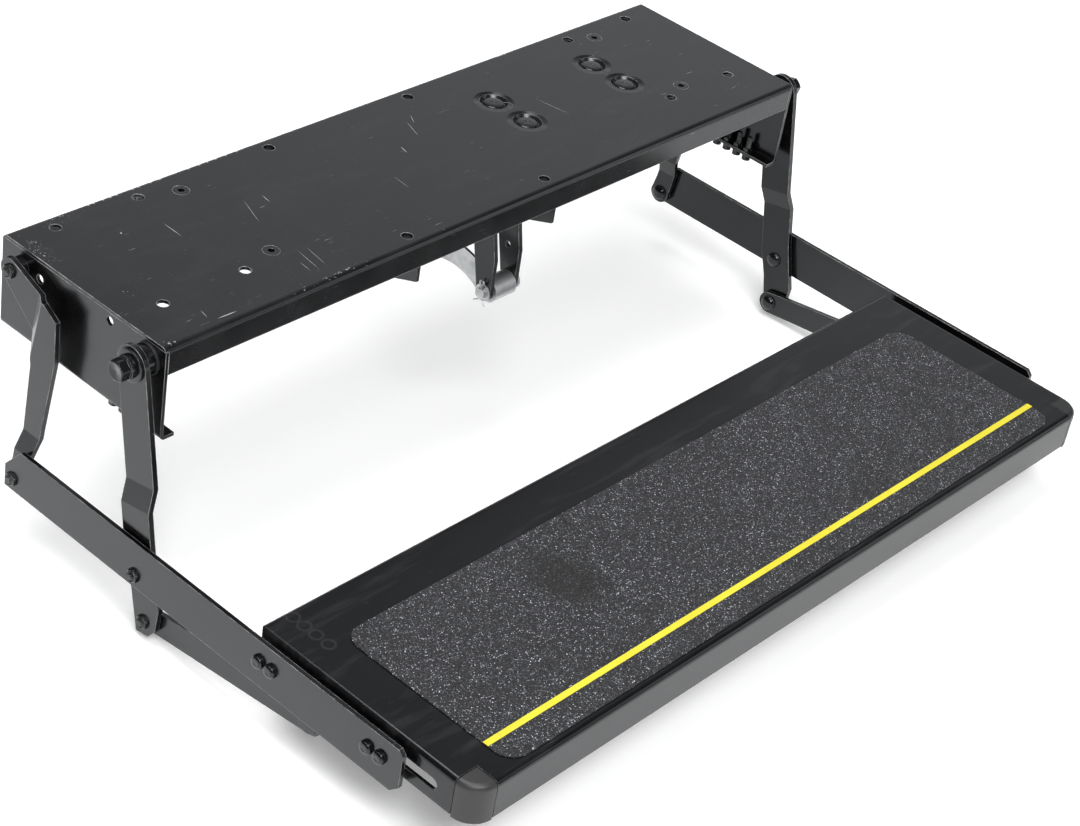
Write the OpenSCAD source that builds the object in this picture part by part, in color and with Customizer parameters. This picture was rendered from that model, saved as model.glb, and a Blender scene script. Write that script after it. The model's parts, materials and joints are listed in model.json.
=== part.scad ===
// Pull out step for the door of a caravan, shown with the tread out.
// A folded steel frame bolts up under the floor. Two front legs on a cross shaft and two rear legs
// carry a pair of level arms, and the tread slides on those arms as the legs swing.
// x runs along the doorway, the tread comes out towards -y, and z = 0 is the face under the floor.

/* [Frame] */
// Length of the frame along the doorway
frame_w = 760; // [720:5:800]
// Depth of the frame
frame_d = 194; // [188:1:206]
// Thickness of the frame's sheet steel
sheet_t = 3; // [2:0.5:3.5]
// Outer radius of the bends in the sheet
bend_r = 5; // [4:0.5:6]
// Height of the front and rear flanges
flange_h = 24; // [18:1:28]
// Height of the side plates
side_h = 84; // [76:1:88]
// Width of the lip turned in under each side plate
lip_w = 14; // [14:0.5:18]

/* [Fixing holes] */
// Diameter of the bolt holes in the top plate
mount_hole_d = 10; // [6:0.5:12]
// Distance from the front row of bolt holes to the rear row
mount_span_y = 129; // [120:1:135]
// Distance from the rear edge to the rear row
mount_rear_inset = 16; // [13:1:20]
// Distance from each end to the outer bolt holes
outer_mount_inset = 38; // [34:1:46]
// Distance from each end to the inner bolt holes
inner_mount_inset = 121; // [100:1:130]
// Diameter of the service holes in the side plates
side_hole_d = 8; // [4:0.5:9]
// Diameter of the plug weld holes over the inner brackets
weld_hole_d = 10; // [6:0.5:12]

/* [Lip bolts] */
// Number of bolts through each lip
lip_bolt_count = 4; // [2:1:5]
// Pitch of the bolts through the lip
lip_bolt_pitch = 12; // [11:0.5:14]
// Distance from the frame's front to the first lip bolt
lip_bolt_front = 28; // [24:1:36]
// Distance from the frame's end to the lip bolts
lip_bolt_inset = 9; // [9:0.1:9.4]
// Thread diameter of the lip bolts
lip_bolt_d = 5; // [4:0.5:6]
// Length of the lip bolts under the head
lip_bolt_len = 18; // [14:1:24]

/* [Pivots] */
// Depth of the upper pivots below the top face
pivot_drop = 18; // [17:0.5:22]
// Distance from the frame's front to the drive shaft
shaft_inset = 19.5; // [19:0.5:24]
// Distance from the frame's rear to the rear pivots
rear_pivot_inset = 24; // [20:0.5:28]
// Length of the legs between their pivots
leg_len = 177; // [165:1:190]
// Forward lean of the legs with the tread out, in degrees
leg_lean = 10.5; // [6:0.5:14]
// Length of the front legs below the arms, down to the link pivot
link_lever = 45; // [40:1:50]
// Diameter of the pivot bolts
pivot_d = 10; // [8:0.5:11]
// Height of the domed heads on the pivot bolts
pivot_head_h = 5; // [3.5:0.5:6]
// Diameter of the domed heads
pivot_head_d = 15; // [13:0.5:16]
// Thread diameter of the outer ends of the pivot bolts
pivot_end_d = 6; // [5:0.5:7]
// Width of the lock nuts across their flats
pivot_nut_af = 11; // [11:0.5:13]
// Height of the lock nuts
pivot_nut_h = 3.5; // [3:0.5:5]

/* [Clearances] */
// Radial clearance of a running pivot
run_gap = 0.05; // [0.03:0.01:0.09]
// Radial clearance of a fixed seat
seat_gap = 0.02; // [0.01:0.01:0.05]
// Face clearance between pieces that turn or slide past each other
face_gap = 0.3; // [0.2:0.05:0.4]

/* [Front legs] */
// Width of the front legs
leg_w = 32; // [28:1:34]
// Thickness of the front legs
leg_t = 4.8; // [4:0.2:6]
// Gap between a side plate and the front leg beside it
leg_gap = 11.2; // [10.2:0.2:13]
// Outward offset at the joggle of the legs
joggle = 6.5; // [5:0.5:8]
// Distance from the pivot to the start of the joggle
joggle_start = 102; // [90:1:115]
// Length of the joggle
joggle_len = 18; // [14:1:24]
// Metal left below the link pivot
leg_tail = 12; // [10:0.5:14]

/* [Rear legs] */
// Thickness of the rear legs
rear_leg_t = 4.5; // [3.5:0.5:5]
// Gap between a side plate and the top of the rear leg beside it
rear_leg_gap = 7; // [6:0.5:9]
// Outward step across the bend at the knee
knee_step = 4.5; // [3:0.5:6]
// Radius of the upper end of the rear legs
rear_top_r = 11; // [9:0.5:12]
// Radius of the lower end of the rear legs
rear_foot_r = 10.5; // [9:0.5:12]
// Slant of the knee bend from upright, in degrees
knee_tilt = 11.3; // [5:0.5:16]

/* [Arms] */
// Thickness of the arms
arm_t = 4; // [3:0.5:5]
// Height of the arms
arm_h = 42; // [38:1:46]
// Height of the arm's top edge above its pivots
arm_top = 31; // [28:1:33]
// Length of the arm behind the rear pivot
arm_tail = 9; // [8:0.5:14]
// Length of the arm in front of the front pivot
arm_reach = 292.2; // [270:1:310]
// Gap between a leg and the arm beside it
arm_gap = 1.8; // [1.4:0.1:2.4]

/* [Slide] */
// Height of the slide line above the arm's pivots
slide_rise = 12; // [10:0.5:14]
// Travel of the tread along the arms
slide_travel = 41; // [40.6:0.2:44]
// Distance from the arm's front end to its first slide bolt
slide_front = 21; // [18:1:26]
// Distance between the two bolts of a slide block
slide_pitch = 13.4; // [12.6:0.2:16]
// Distance between the front and the rear slide blocks
slide_span = 115.6; // [100:1:122]
// Height of the slots in the tread's sides
slot_h = 10; // [8:0.5:12]
// Thread diameter of the slide bolts
slide_bolt_d = 6; // [5:0.5:6]
// Height of the slide blocks and of their keepers
block_h = 15; // [13:0.5:16]
// Thickness of the keepers
keeper_t = 2; // [1.5:0.5:2.5]

/* [Tread] */
// Width of the tread
tread_w = 795; // [786:1:795]
// Depth of the tread
tread_d = 228; // [220:1:240]
// Thickness of the tread's sheet
tread_t = 3; // [2:0.5:3.5]
// Height of the tread's skirts
skirt_h = 34; // [30:1:36]
// Height of the flange along the back of the tread
back_flange_h = 14; // [10:1:20]
// Length of the tread in front of the arms
tread_overhang = 63; // [56:1:70]
// Radius of the corner caps
corner_r = 21; // [16:1:26]
// Seam between a corner cap and the tread
corner_seam = 0.8; // [0.5:0.1:0.9]
// Wall thickness of the corner caps
corner_wall = 3; // [2:0.5:3.5]
// Width of the grip pad
pad_w = 712; // [640:4:720]
// Depth of the grip pad
pad_d = 175; // [150:1:185]
// Thickness of the grip pad
pad_t = 1; // [0.6:0.2:2]
// Radius of the grip pad's corners
pad_r = 18; // [10:1:22]
// Margin in front of the grip pad
pad_front = 7; // [6:1:12]
// Width of the edge stripe
stripe_w = 5.5; // [4:0.5:9]
// Distance from the pad's front edge to the stripe
stripe_inset = 23; // [22:1:40]
// Thickness of the edge stripe
stripe_t = 0.4; // [0.3:0.1:0.8]

/* [Links] */
// Width of the links
link_w = 22; // [20:1:24]
// Thickness of the links
link_t = 4; // [3:0.5:5]
// Radius of the links' front ends
link_front_r = 13.5; // [12:0.5:14]
// Space between a link and the leg beside it
link_space = 1; // [0.8:0.1:1.2]
// Distance from the tread's front to the link's front pivot
link_pin_inset = 167; // [160:1:174]
// Depth of the link's front pivot below the tread's top
link_pin_drop = 53; // [50:0.5:56]
// Diameter of the link's front pin
link_pin_d = 8; // [6:0.5:8]
// Play of the front pin in the link's eye, which takes up the rise and fall of the link
link_play = 3.2; // [3.1:0.05:3.5]
// Height of the eye's centre above the pin with the tread out
eye_rise = 2.9; // [2.7:0.1:3.1]
// Distance of the eye's centre in front of the pin with the tread out
eye_lead = 0.8; // [0.7:0.05:0.9]
// Thickness of the brackets that carry the link pins
link_bracket_t = 3; // [2:0.5:4]
// Space between those brackets and the ends of the slide bolts
link_bracket_gap = 0.7; // [0.5:0.1:1]

/* [Drive] */
// Diameter of the drive shaft
shaft_d = 18; // [16:0.5:19]
// Wall of the bushes round the shafts
bush_wall = 2.5; // [1.5:0.5:3]
// Thickness of the bush flanges
bush_flange_t = 2; // [1:0.5:2.5]
// Diameter of the hub washers
hub_washer_d = 28; // [24:1:30]
// Thickness of the hub washers
hub_washer_t = 2.5; // [1.5:0.5:3]
// Diameter of the collar under the hub bolt heads
hub_collar_d = 20; // [19:0.5:22]
// Thickness of that collar
hub_collar_t = 5; // [3:0.5:6]
// Width of the hub bolt heads across their flats
hub_bolt_af = 16; // [14:0.5:16]
// Height of the hub bolt heads
hub_bolt_h = 8; // [6:0.5:9]
// Thread diameter of the hub bolts
hub_bolt_d = 8; // [6:0.5:9]
// Distance between the pivot and the pin of the lever, and of the crank
lever_len = 70; // [64:1:72]
// Thickness of the lever plates
lever_t = 4.5; // [3.5:0.5:5]
// Gap between the two lever plates
lever_space = 26; // [24:0.5:30]
// Thickness of the coupler's sheet
coupler_t = 2.5; // [2:0.5:3]
// Gap between the coupler and the lever plates
coupler_gap = 0.4; // [0.3:0.05:0.6]
// Half width of the coupler's sides
coupler_r = 11; // [10:0.5:12]
// Upward bow of the coupler's long side
coupler_bow = 18.5; // [16:0.5:20]
// Diameter of the lever pin and of the crank pin
lever_pin_d = 10; // [8:0.5:11]

/* [Motor] */
// Distance from the drive shaft back to the crank shaft
crank_back = 92; // [88:1:94]
// Depth of the crank shaft below the drive shaft
crank_drop = 6; // [5:0.5:8]
// Diameter of the crank shaft
crank_shaft_d = 16; // [14:0.5:16]
// Depth of the motor's centre line below the crank shaft
motor_drop = 18; // [16:0.5:20]
// Distance from the frame's middle to the left inner bracket
bracket_left_x = 102; // [98:1:104]
// Distance from the frame's middle to the right inner bracket
bracket_right_x = 60; // [56:1:64]
// Depth of the inner brackets at their front corner
bracket_h = 45; // [40:1:50]
// Diameter of the gearbox
gearbox_d = 64; // [60:1:66]
// Length of the gearbox body
gearbox_len = 52; // [46:1:54]
// Thickness of the gearbox cover
gearbox_cover_t = 5; // [4:0.5:8]
// Diameter of the motor
motor_d = 52; // [46:1:56]
// Length of the motor
motor_len = 112; // [100:1:120]
// Length of the motor's end cap
motor_cap_len = 15; // [12:1:20]
// Distance between the two bolt rows of the motor bracket
motor_bolt_span_x = 132; // [124:1:140]
// Distance between the front and rear bolts of the motor bracket
motor_bolt_span_y = 41; // [36:1:44]
// Diameter of the pressed cups round the motor bracket's screws
dimple_d = 26.5; // [24:0.5:30]
// Depth of those cups
dimple_depth = 2.4; // [1.8:0.1:3]

/* [Hidden] */
$fn = 64;

// Pivots as [y, z] with the tread out
lean_dir = [-sin(leg_lean), -cos(leg_lean)];
front_y = -frame_d / 2;
rear_y = frame_d / 2;
half_w = frame_w / 2;
shaft_at = [front_y + shaft_inset, -pivot_drop];
pivot_pitch = frame_d - shaft_inset - rear_pivot_inset;
rear_pivot = shaft_at + [pivot_pitch, 0];
arm_pivot = shaft_at + leg_len * lean_dir;
arm_rear_pivot = arm_pivot + [pivot_pitch, 0];
link_pivot = shaft_at + (leg_len + link_lever) * lean_dir;
lever_end = shaft_at + lever_len * lean_dir;
crank_at = shaft_at + [crank_back, -crank_drop];
crank_end = crank_at + lever_len * lean_dir;
motor_at = crank_at - [0, motor_drop];

// Places along x, outwards from the frame's end
pivot_r = pivot_d / 2;
pivot_end_r = pivot_end_d / 2;
leg_in = half_w + leg_gap;
leg_out = leg_in + leg_t;
foot_in = leg_in + joggle;
foot_out = leg_out + joggle;
rear_top_in = half_w + rear_leg_gap;
rear_foot_in = foot_out - rear_leg_t;
rear_mid_in = rear_top_in + knee_step;
arm_in = foot_out + arm_gap;
arm_out = arm_in + arm_t;
hub_out = leg_out + hub_washer_t;

// Tread
tread_half = tread_w / 2;
arm_front = arm_pivot[0] - arm_reach;
tread_front = arm_front - tread_overhang;
tread_back = tread_front + tread_d;
tread_z = arm_pivot[1] + arm_top;
skirt_in = tread_half - tread_t;
slide_z = arm_pivot[1] + slide_rise;
slide_y = arm_front + slide_front;
keeper_in = skirt_in - face_gap - keeper_t;
slide_nut_h = 4;
slide_bolt_in = keeper_in - slide_nut_h - 1;
pad_y = tread_front + pad_front;
block_starts = [slide_y, slide_y + slide_span];

// Links
link_in = foot_in - link_space - link_t;
link_out = link_in + link_t;
link_pin = [tread_front + link_pin_inset, tread_z - link_pin_drop];
link_eye = link_pin + [-eye_lead, eye_rise];
link_bracket_out = slide_bolt_in - link_bracket_gap;
link_bracket_in = link_bracket_out - link_bracket_t;

// Drive
shaft_r = shaft_d / 2;
spigot_step = 2;
spigot_r = shaft_r - spigot_step;
spigot_flat = shaft_r * 1.2;
bush_r = shaft_r + bush_wall;
crank_bush_r = crank_shaft_d / 2 + bush_wall;
lever_in = lever_space / 2;
lever_out = lever_in + lever_t;
coupler_out = lever_in - coupler_gap;
coupler_in = coupler_out - coupler_t;
pin_r = lever_pin_d / 2;
motor_start = bracket_right_x + sheet_t + gearbox_len + gearbox_cover_t;
motor_mid = motor_start + motor_len / 2;

// Shapes

// Extrudes a [y, z] outline along x
module slab(x0, x1) {
    translate([x0, 0, 0]) rotate([90, 0, 90]) linear_extrude(x1 - x0) children();
}

// Extrudes an [x, z] outline along y
module run(y0, y1) {
    translate([0, y1, 0]) rotate([90, 0, 0]) linear_extrude(y1 - y0) children();
}

// A round bar along x, centred on a [y, z] point
module rod(at, r, x0, x1) {
    translate([x0, at[0], at[1]]) rotate([0, 90, 0]) cylinder(r = r, h = x1 - x0);
}

// A six sided bar along x, measured across its flats
module hex_rod(at, af, x0, x1) {
    translate([x0, at[0], at[1]]) rotate([0, 90, 0]) cylinder(r = af / 2 / cos(30), h = x1 - x0, $fn = 6);
}

// A low dome along x whose flat side is at x1 and whose top is at x0
module dome(at, d, x0, x1) {
    h = x1 - x0;
    ball = (d * d / 4 + h * h) / (2 * h);
    translate([x1, at[0], at[1]]) rotate([0, -90, 0]) rotate_extrude() intersection() {
        translate([0, h - ball]) circle(r = ball);
        square([d / 2, h]);
    }
}

// A ring along x
module ring(at, r_out, r_in, x0, x1) {
    difference() {
        rod(at, r_out, x0, x1);
        rod(at, r_in, x0 - 1, x1 + 1);
    }
}

// The same piece at both ends
module both_ends() {
    children();
    mirror([1, 0, 0]) children();
}

// An outline of height h below 0, with its upper corners rounded
module arch(w, h, r) {
    translate([-w / 2, -h]) square([w, h - r]);
    translate([-w / 2 + r, -h]) square([w - 2 * r, h]);
    for (s = [-1, 1]) translate([s * (w / 2 - r), -r]) circle(r = r);
}

// A folded channel, open below
module channel(w, h, t, r) {
    difference() {
        arch(w, h, r);
        translate([0, -t]) arch(w - 2 * t, h, r - t);
    }
}

// A closed corner of width w and height h, rounded at its lower right
module heel(w, h, r) {
    translate([-w, r - h]) square([w, h - r]);
    translate([-w, -h]) square([w - r, h]);
    translate([-r, r - h]) circle(r = r);
}

// A folded angle whose wall is on the right and whose lip is at the bottom
module angle(w, h, t, r) {
    difference() {
        heel(w, h, r);
        translate([-t, t]) heel(w, h, r - t);
    }
}

// A flat bar between two [y, z] points, with round ends of radius ra and rb
module taper_bar(a, b, ra, rb, x0, x1) {
    d = b - a;
    len = norm(d);
    turn = atan2(d[1], d[0]);
    tilt = asin((ra - rb) / len);
    rod(a, ra, x0, x1);
    rod(b, rb, x0, x1);
    slab(x0, x1) translate(a) rotate(turn) polygon([
        ra * [sin(tilt), cos(tilt)], [len, 0] + rb * [sin(tilt), cos(tilt)],
        [len, 0] + rb * [sin(tilt), -cos(tilt)], ra * [sin(tilt), -cos(tilt)]]);
}

// A rounded rectangle
module round_rect(w, d, r) {
    square([w - 2 * r, d], center = true);
    square([w, d - 2 * r], center = true);
    for (x = [-1, 1], y = [-1, 1]) translate([x * (w / 2 - r), y * (d / 2 - r)]) circle(r = r);
}

// A slot along y between the centres a and b
module slot(a, b, h) {
    translate([a[0], a[1] - h / 2]) square([b[0] - a[0], h]);
    translate(a) circle(d = h);
    translate(b) circle(d = h);
}

// Outline in [x, u] of a strip that steps outwards between u1 and u2
function step_points(x0, t, step, u1, u2, u_lo, u_hi) =
    let (shift = t * tan(atan(step / (u2 - u1)) / 2))
    [[x0, u_lo], [x0, u1], [x0 + step, u2], [x0 + step, u_hi],
     [x0 + step + t, u_hi], [x0 + step + t, u2 - shift], [x0 + t, u1 - shift], [x0 + t, u_lo]];

// Puts a piece modelled hanging from the origin into the lean of the front legs
module leaning(at) {
    translate([0, at[0], at[1]]) rotate([-leg_lean, 0, 0]) children();
}

// Frame

module mount_holes() {
    for (x = [half_w - outer_mount_inset, half_w - inner_mount_inset])
        for (s = [-1, 1], back = [0, mount_span_y])
            translate([s * x, rear_y - mount_rear_inset - back, -sheet_t - 1])
                cylinder(d = mount_hole_d, h = sheet_t + 2);
}

// Plug weld holes over the two inner brackets
weld_inset = 14;
bracket_flange_w = 28;
module weld_holes() {
    for (x = [-bracket_left_x, bracket_right_x + sheet_t], y = [front_y + weld_inset, rear_y - weld_inset])
        translate([x - bracket_flange_w / 2, y, -sheet_t - 1]) cylinder(d = weld_hole_d, h = sheet_t + 2);
}

// Pressed nuts near the two ends of the top plate
clinch_r = 7;
clinch_bore_r = 3;
clinch_h = 8;
clinch_left = 157;
clinch_right = 95;
clinch_front = 59;
clinch_rear = 26.5;
module at_clinch_nuts() {
    for (x = [-half_w + clinch_left, half_w - clinch_right])
        for (y = [front_y + clinch_front, rear_y - clinch_rear])
            translate([x, y, 0]) children();
}

// Pressed cups that take the heads of the motor bracket's screws
dimple_floor_d = dimple_d - 6.5;
motor_head_d = dimple_floor_d - 1;
dimple_z = -sheet_t - dimple_depth;
motor_screw_r = 3;
module at_motor_screws() {
    for (x = [-1, 1], y = [-1, 1])
        translate([motor_mid + x * motor_bolt_span_x / 2, motor_at[0] + y * motor_bolt_span_y / 2, 0])
            children();
}

module top_plate() {
    color("dimgray") difference() {
        union() {
            slab(-half_w, half_w) channel(frame_d, flange_h, sheet_t, bend_r);
            at_motor_screws() translate([0, 0, dimple_z])
                cylinder(d1 = dimple_floor_d + sheet_t, d2 = dimple_d + sheet_t, h = dimple_depth + 1);
        }
        both_ends() translate([half_w - sheet_t, front_y - 1, -flange_h - 1])
            cube([sheet_t + 1, frame_d + 2, flange_h + 1 - sheet_t]);
        mount_holes();
        weld_holes();
        at_clinch_nuts() translate([0, 0, -sheet_t - 1]) cylinder(r = clinch_r + seat_gap, h = sheet_t + 2);
        at_motor_screws() {
            translate([0, 0, -dimple_depth]) cylinder(d1 = dimple_floor_d, d2 = dimple_d, h = dimple_depth);
            translate([0, 0, dimple_z - 1]) cylinder(r = motor_screw_r + seat_gap, h = sheet_t + 2);
        }
    }
}

side_hole_front = [front_y + 64.5, -10];
side_hole_rear = [rear_y - 46.4, -17.7];
module lip_bolt_places() {
    for (i = [0 : lip_bolt_count - 1])
        translate([half_w - lip_bolt_inset, front_y + lip_bolt_front + i * lip_bolt_pitch, -side_h])
            children();
}

module side_plate() {
    color("dimgray") difference() {
        run(front_y, rear_y) translate([half_w, -sheet_t]) angle(lip_w, side_h - sheet_t, sheet_t, bend_r);
        rod(shaft_at, bush_r + seat_gap, half_w - sheet_t - 1, half_w + 1);
        rod(rear_pivot, pivot_r + seat_gap, half_w - sheet_t - 1, half_w + 1);
        for (p = [side_hole_front, side_hole_rear])
            rod(p, side_hole_d / 2, half_w - sheet_t - 1, half_w + 1);
        lip_bolt_places() translate([0, 0, -1]) cylinder(d = lip_bolt_d + 2 * seat_gap, h = sheet_t + 2);
    }
}

module side_plate_left() {
    mirror([1, 0, 0]) side_plate();
}

module side_plate_right() {
    side_plate();
}

// Bracket with a flange towards -x under the top plate and a wall whose right face is at x
bracket_margin = 7;
module bracket_outline() {
    top = -sheet_t;
    front = front_y + bracket_margin;
    back = rear_y - bracket_margin;
    polygon([[front, top - bend_r], [front, -bracket_h],
        [motor_at[0] - gearbox_d * 0.4, motor_at[1] - gearbox_d * 0.5],
        [motor_at[0] + gearbox_d * 0.5, motor_at[1] - gearbox_d * 0.5],
        [back, crank_at[1] - bush_r], [back, top - bend_r]]);
}

module bracket(x) {
    front = front_y + bracket_margin;
    color("dimgray") difference() {
        union() {
            slab(x - sheet_t, x) bracket_outline();
            translate([x - bracket_flange_w / 2, 0, -sheet_t]) run(front, -front)
                intersection() {
                    channel(bracket_flange_w, bracket_flange_w, sheet_t, bend_r);
                    union() {
                        translate([-bracket_flange_w / 2 - 1, -sheet_t]) square([bracket_flange_w, sheet_t]);
                        translate([bracket_flange_w / 2 - bend_r, -bend_r]) square([bend_r, bend_r]);
                    }
                }
        }
        rod(shaft_at, bush_r + seat_gap, x - sheet_t - 1, x + 1);
        rod(crank_at, crank_bush_r + seat_gap, x - sheet_t - 1, x + 1);
    }
}

module inner_bracket_left() {
    bracket(-bracket_left_x);
}

module inner_bracket_right() {
    color("dimgray") difference() {
        bracket(bracket_right_x + sheet_t);
        at_gearbox_screws()
            rod([0, 0], gear_screw_r + seat_gap, bracket_right_x - 1, bracket_right_x + sheet_t + 1);
    }
}

// Flanged bush in a wall between x0 and x1, its flange beyond x1
module bush(at, bore_r, outer_r, x0, x1) {
    color("gold") difference() {
        union() {
            rod(at, outer_r, x0, x1 + bush_flange_t);
            rod(at, outer_r + 2, x1, x1 + bush_flange_t);
        }
        rod(at, bore_r, x0 - 1, x1 + bush_flange_t + 1);
    }
}

module shaft_bushes() {
    both_ends() bush(shaft_at, shaft_r + run_gap, bush_r, half_w - sheet_t - 1, half_w);
    bush(shaft_at, shaft_r + run_gap, bush_r, bracket_right_x - 1, bracket_right_x + sheet_t);
    bush(shaft_at, shaft_r + run_gap, bush_r, -bracket_left_x - sheet_t - 1, -bracket_left_x);
}

module crank_bushes() {
    bore_r = crank_shaft_d / 2 + run_gap;
    mirror([1, 0, 0]) {
        bush(crank_at, bore_r, crank_bush_r, -bracket_right_x - sheet_t, -bracket_right_x);
        bush(crank_at, bore_r, crank_bush_r, bracket_left_x, bracket_left_x + sheet_t);
    }
}

rear_pivot_seat = rear_top_in + rear_leg_t + face_gap;
module rear_pivot_bolts() {
    inner = half_w - sheet_t;
    color("black") both_ends() {
        hex_rod(rear_pivot, pivot_head_d, inner - pivot_head_h, inner);
        pivot_shank(rear_pivot, inner - 1, rear_pivot_seat);
    }
}

module rear_pivot_spacers() {
    color("gray") both_ends()
        ring(rear_pivot, pivot_r + 4, pivot_r + seat_gap, half_w, rear_top_in - face_gap);
}

module rear_pivot_nuts() {
    color("gray") both_ends() pivot_nut(rear_pivot, rear_pivot_seat);
}

// Heads and nuts of the lip bolts, with one flat along the side plate
lip_head_h = 6;
lip_nut_h = 4;
lip_head_af = 8;
module lip_hex(z, h) {
    translate([0, 0, z]) rotate([0, 0, 30]) cylinder(r = lip_head_af / 2 / cos(30), h = h, $fn = 6);
}

module lip_bolts() {
    color("gray") both_ends() lip_bolt_places() {
        lip_hex(-lip_head_h, lip_head_h);
        translate([0, 0, -1]) cylinder(d = lip_bolt_d, h = lip_bolt_len + 1);
    }
}

module lip_nuts() {
    color("gray") both_ends() lip_bolt_places() difference() {
        lip_hex(sheet_t, lip_nut_h);
        cylinder(d = lip_bolt_d + 2 * seat_gap, h = sheet_t + lip_nut_h + 1);
    }
}

module clinch_nuts() {
    color("gray") at_clinch_nuts() translate([0, 0, -clinch_h]) difference() {
        union() {
            cylinder(r = clinch_r, h = clinch_h);
            cylinder(r = clinch_r + 2, h = clinch_h - sheet_t);
        }
        translate([0, 0, -1]) cylinder(r = clinch_bore_r, h = clinch_h + 2);
    }
}

// Motor

gearbox_start = bracket_right_x + sheet_t;
crank_shaft_end = gearbox_start + gearbox_len * 0.4;
gear_screw_r = 3;
gear_screw_depth = 12;
gear_screw_angles = [-150, -90, -30];
module at_gearbox_screws() {
    reach = gearbox_d / 2 - 7;
    for (a = gear_screw_angles)
        translate([0, motor_at[0] + reach * cos(a), motor_at[1] + reach * sin(a)]) children();
}

module gearbox_housing() {
    color("silver") difference() {
        rod(motor_at, gearbox_d / 2, gearbox_start, gearbox_start + gearbox_len);
        rod(crank_at, crank_bush_r + 2 + face_gap, gearbox_start - 1,
            gearbox_start + bush_flange_t + face_gap);
        rod(crank_at, crank_shaft_d / 2 + run_gap, gearbox_start - 1, crank_shaft_end + 1);
        at_gearbox_screws()
            rod([0, 0], gear_screw_r + seat_gap, gearbox_start - 1, gearbox_start + gear_screw_depth);
    }
}

module gearbox_cover() {
    x0 = gearbox_start + gearbox_len;
    color("silver") union() {
        rod(motor_at, gearbox_d / 2, x0, x0 + gearbox_cover_t - 2);
        rod(motor_at, gearbox_d / 2 - 3, x0, x0 + gearbox_cover_t);
    }
}

module gearbox_screws() {
    color("gray") at_gearbox_screws() {
        hex_rod([0, 0], gear_screw_r * 3.2, bracket_right_x - 4, bracket_right_x);
        rod([0, 0], gear_screw_r, bracket_right_x - 1, gearbox_start + gear_screw_depth - 1);
    }
}

module motor_can() {
    color("black") rod(motor_at, motor_d / 2, motor_start, motor_start + motor_len);
}

// The gland on the cap's rear side is where the motor's leads come out
gland_r = 3.5;
gland_len = 8;
module motor_end_cap() {
    x0 = motor_start + motor_len;
    color("black") {
        rod(motor_at, motor_d / 2 + 1, x0, x0 + motor_cap_len * 0.6);
        rod(motor_at, motor_d / 2 - 3, x0, x0 + motor_cap_len);
        translate([x0 + motor_cap_len * 0.3, motor_at[0] + motor_d / 2 - 1, motor_at[1]])
            rotate([-90, 0, 0]) cylinder(r = gland_r, h = gland_len);
    }
}

saddle_margin_x = 12;
saddle_margin_y = 12;
lug_wall = 5;
lug_inset = 30;
saddle_z = dimple_z - sheet_t;
module motor_bracket() {
    w = motor_bolt_span_x + 2 * saddle_margin_x;
    d = motor_bolt_span_y + 2 * saddle_margin_y;
    lug_r = motor_d / 2 + lug_wall;
    color("dimgray") difference() {
        union() {
            translate([motor_mid, motor_at[0], saddle_z]) linear_extrude(sheet_t) round_rect(w, d, 5);
            for (x = [motor_mid - w / 2 + lug_inset, motor_mid + w / 2 - lug_inset - sheet_t])
                slab(x, x + sheet_t) {
                    translate(motor_at) circle(r = lug_r);
                    translate([motor_at[0] - lug_r, motor_at[1]])
                        square([2 * lug_r, saddle_z + 1 - motor_at[1]]);
                }
        }
        rod(motor_at, motor_d / 2 + seat_gap, motor_mid - w, motor_mid + w);
        at_motor_screws() translate([0, 0, saddle_z - 1])
            cylinder(r = motor_screw_r + seat_gap, h = sheet_t + 2);
    }
}

// Flat headed screws that lie in the cups
motor_screw_len = 12;
motor_head_t = 1.6;
motor_nut_h = 4;
module motor_bracket_screws() {
    color("gray") at_motor_screws() translate([0, 0, -dimple_depth]) {
        translate([0, 0, -motor_screw_len]) cylinder(r = motor_screw_r, h = motor_screw_len + 1);
        cylinder(d = motor_head_d, h = motor_head_t);
    }
}

module motor_bracket_nuts() {
    color("gray") at_motor_screws() translate([0, 0, saddle_z - motor_nut_h]) difference() {
        cylinder(r = motor_screw_r * 1.8, h = motor_nut_h, $fn = 6);
        translate([0, 0, -1]) cylinder(r = motor_screw_r + seat_gap, h = motor_nut_h + 2);
    }
}

// Drive shaft, front legs and levers

// Flattened end of the shaft, or the hole that it fits when grown by gap
module spigot(gap) {
    intersection() {
        circle(r = spigot_r + gap);
        square([2 * spigot_r + 2, 2 * (spigot_flat / 2 + gap)], center = true);
    }
}

hub_thread_depth = 28;
module drive_shaft() {
    color("gray") difference() {
        union() {
            rod(shaft_at, shaft_r, -leg_in, leg_in);
            leaning(shaft_at) slab(-leg_out, leg_out) spigot(0);
        }
        both_ends() rod(shaft_at, hub_bolt_d / 2 + seat_gap, leg_out - hub_thread_depth, leg_out + 1);
    }
}

// Front leg before it is joggled, hanging from its pivot. The foot swells towards the front round the
// arm's pivot and narrows to a blunt end under the link's pivot.
leg_rear_taper = [7, 38];
leg_front_taper = [17, 30, 8];
leg_foot_widths = [0.72, 0.6, -0.3, -0.85, -1.25];
module leg_blank(x0, x1) {
    r = leg_w / 2;
    foot = leg_len + link_lever + leg_tail;
    w = r * leg_foot_widths;
    rod([0, 0], r, x0, x1);
    slab(x0, x1) polygon([[r, 0], [r, leg_rear_taper[0] - leg_len], [w[0], leg_rear_taper[1] - foot],
        [w[1], -foot], [w[2], -foot], [w[3], leg_front_taper[2] - foot],
        [w[4], leg_front_taper[1] - foot], [-r, leg_front_taper[0] - leg_len], [-r, 0]]);
}

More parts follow.
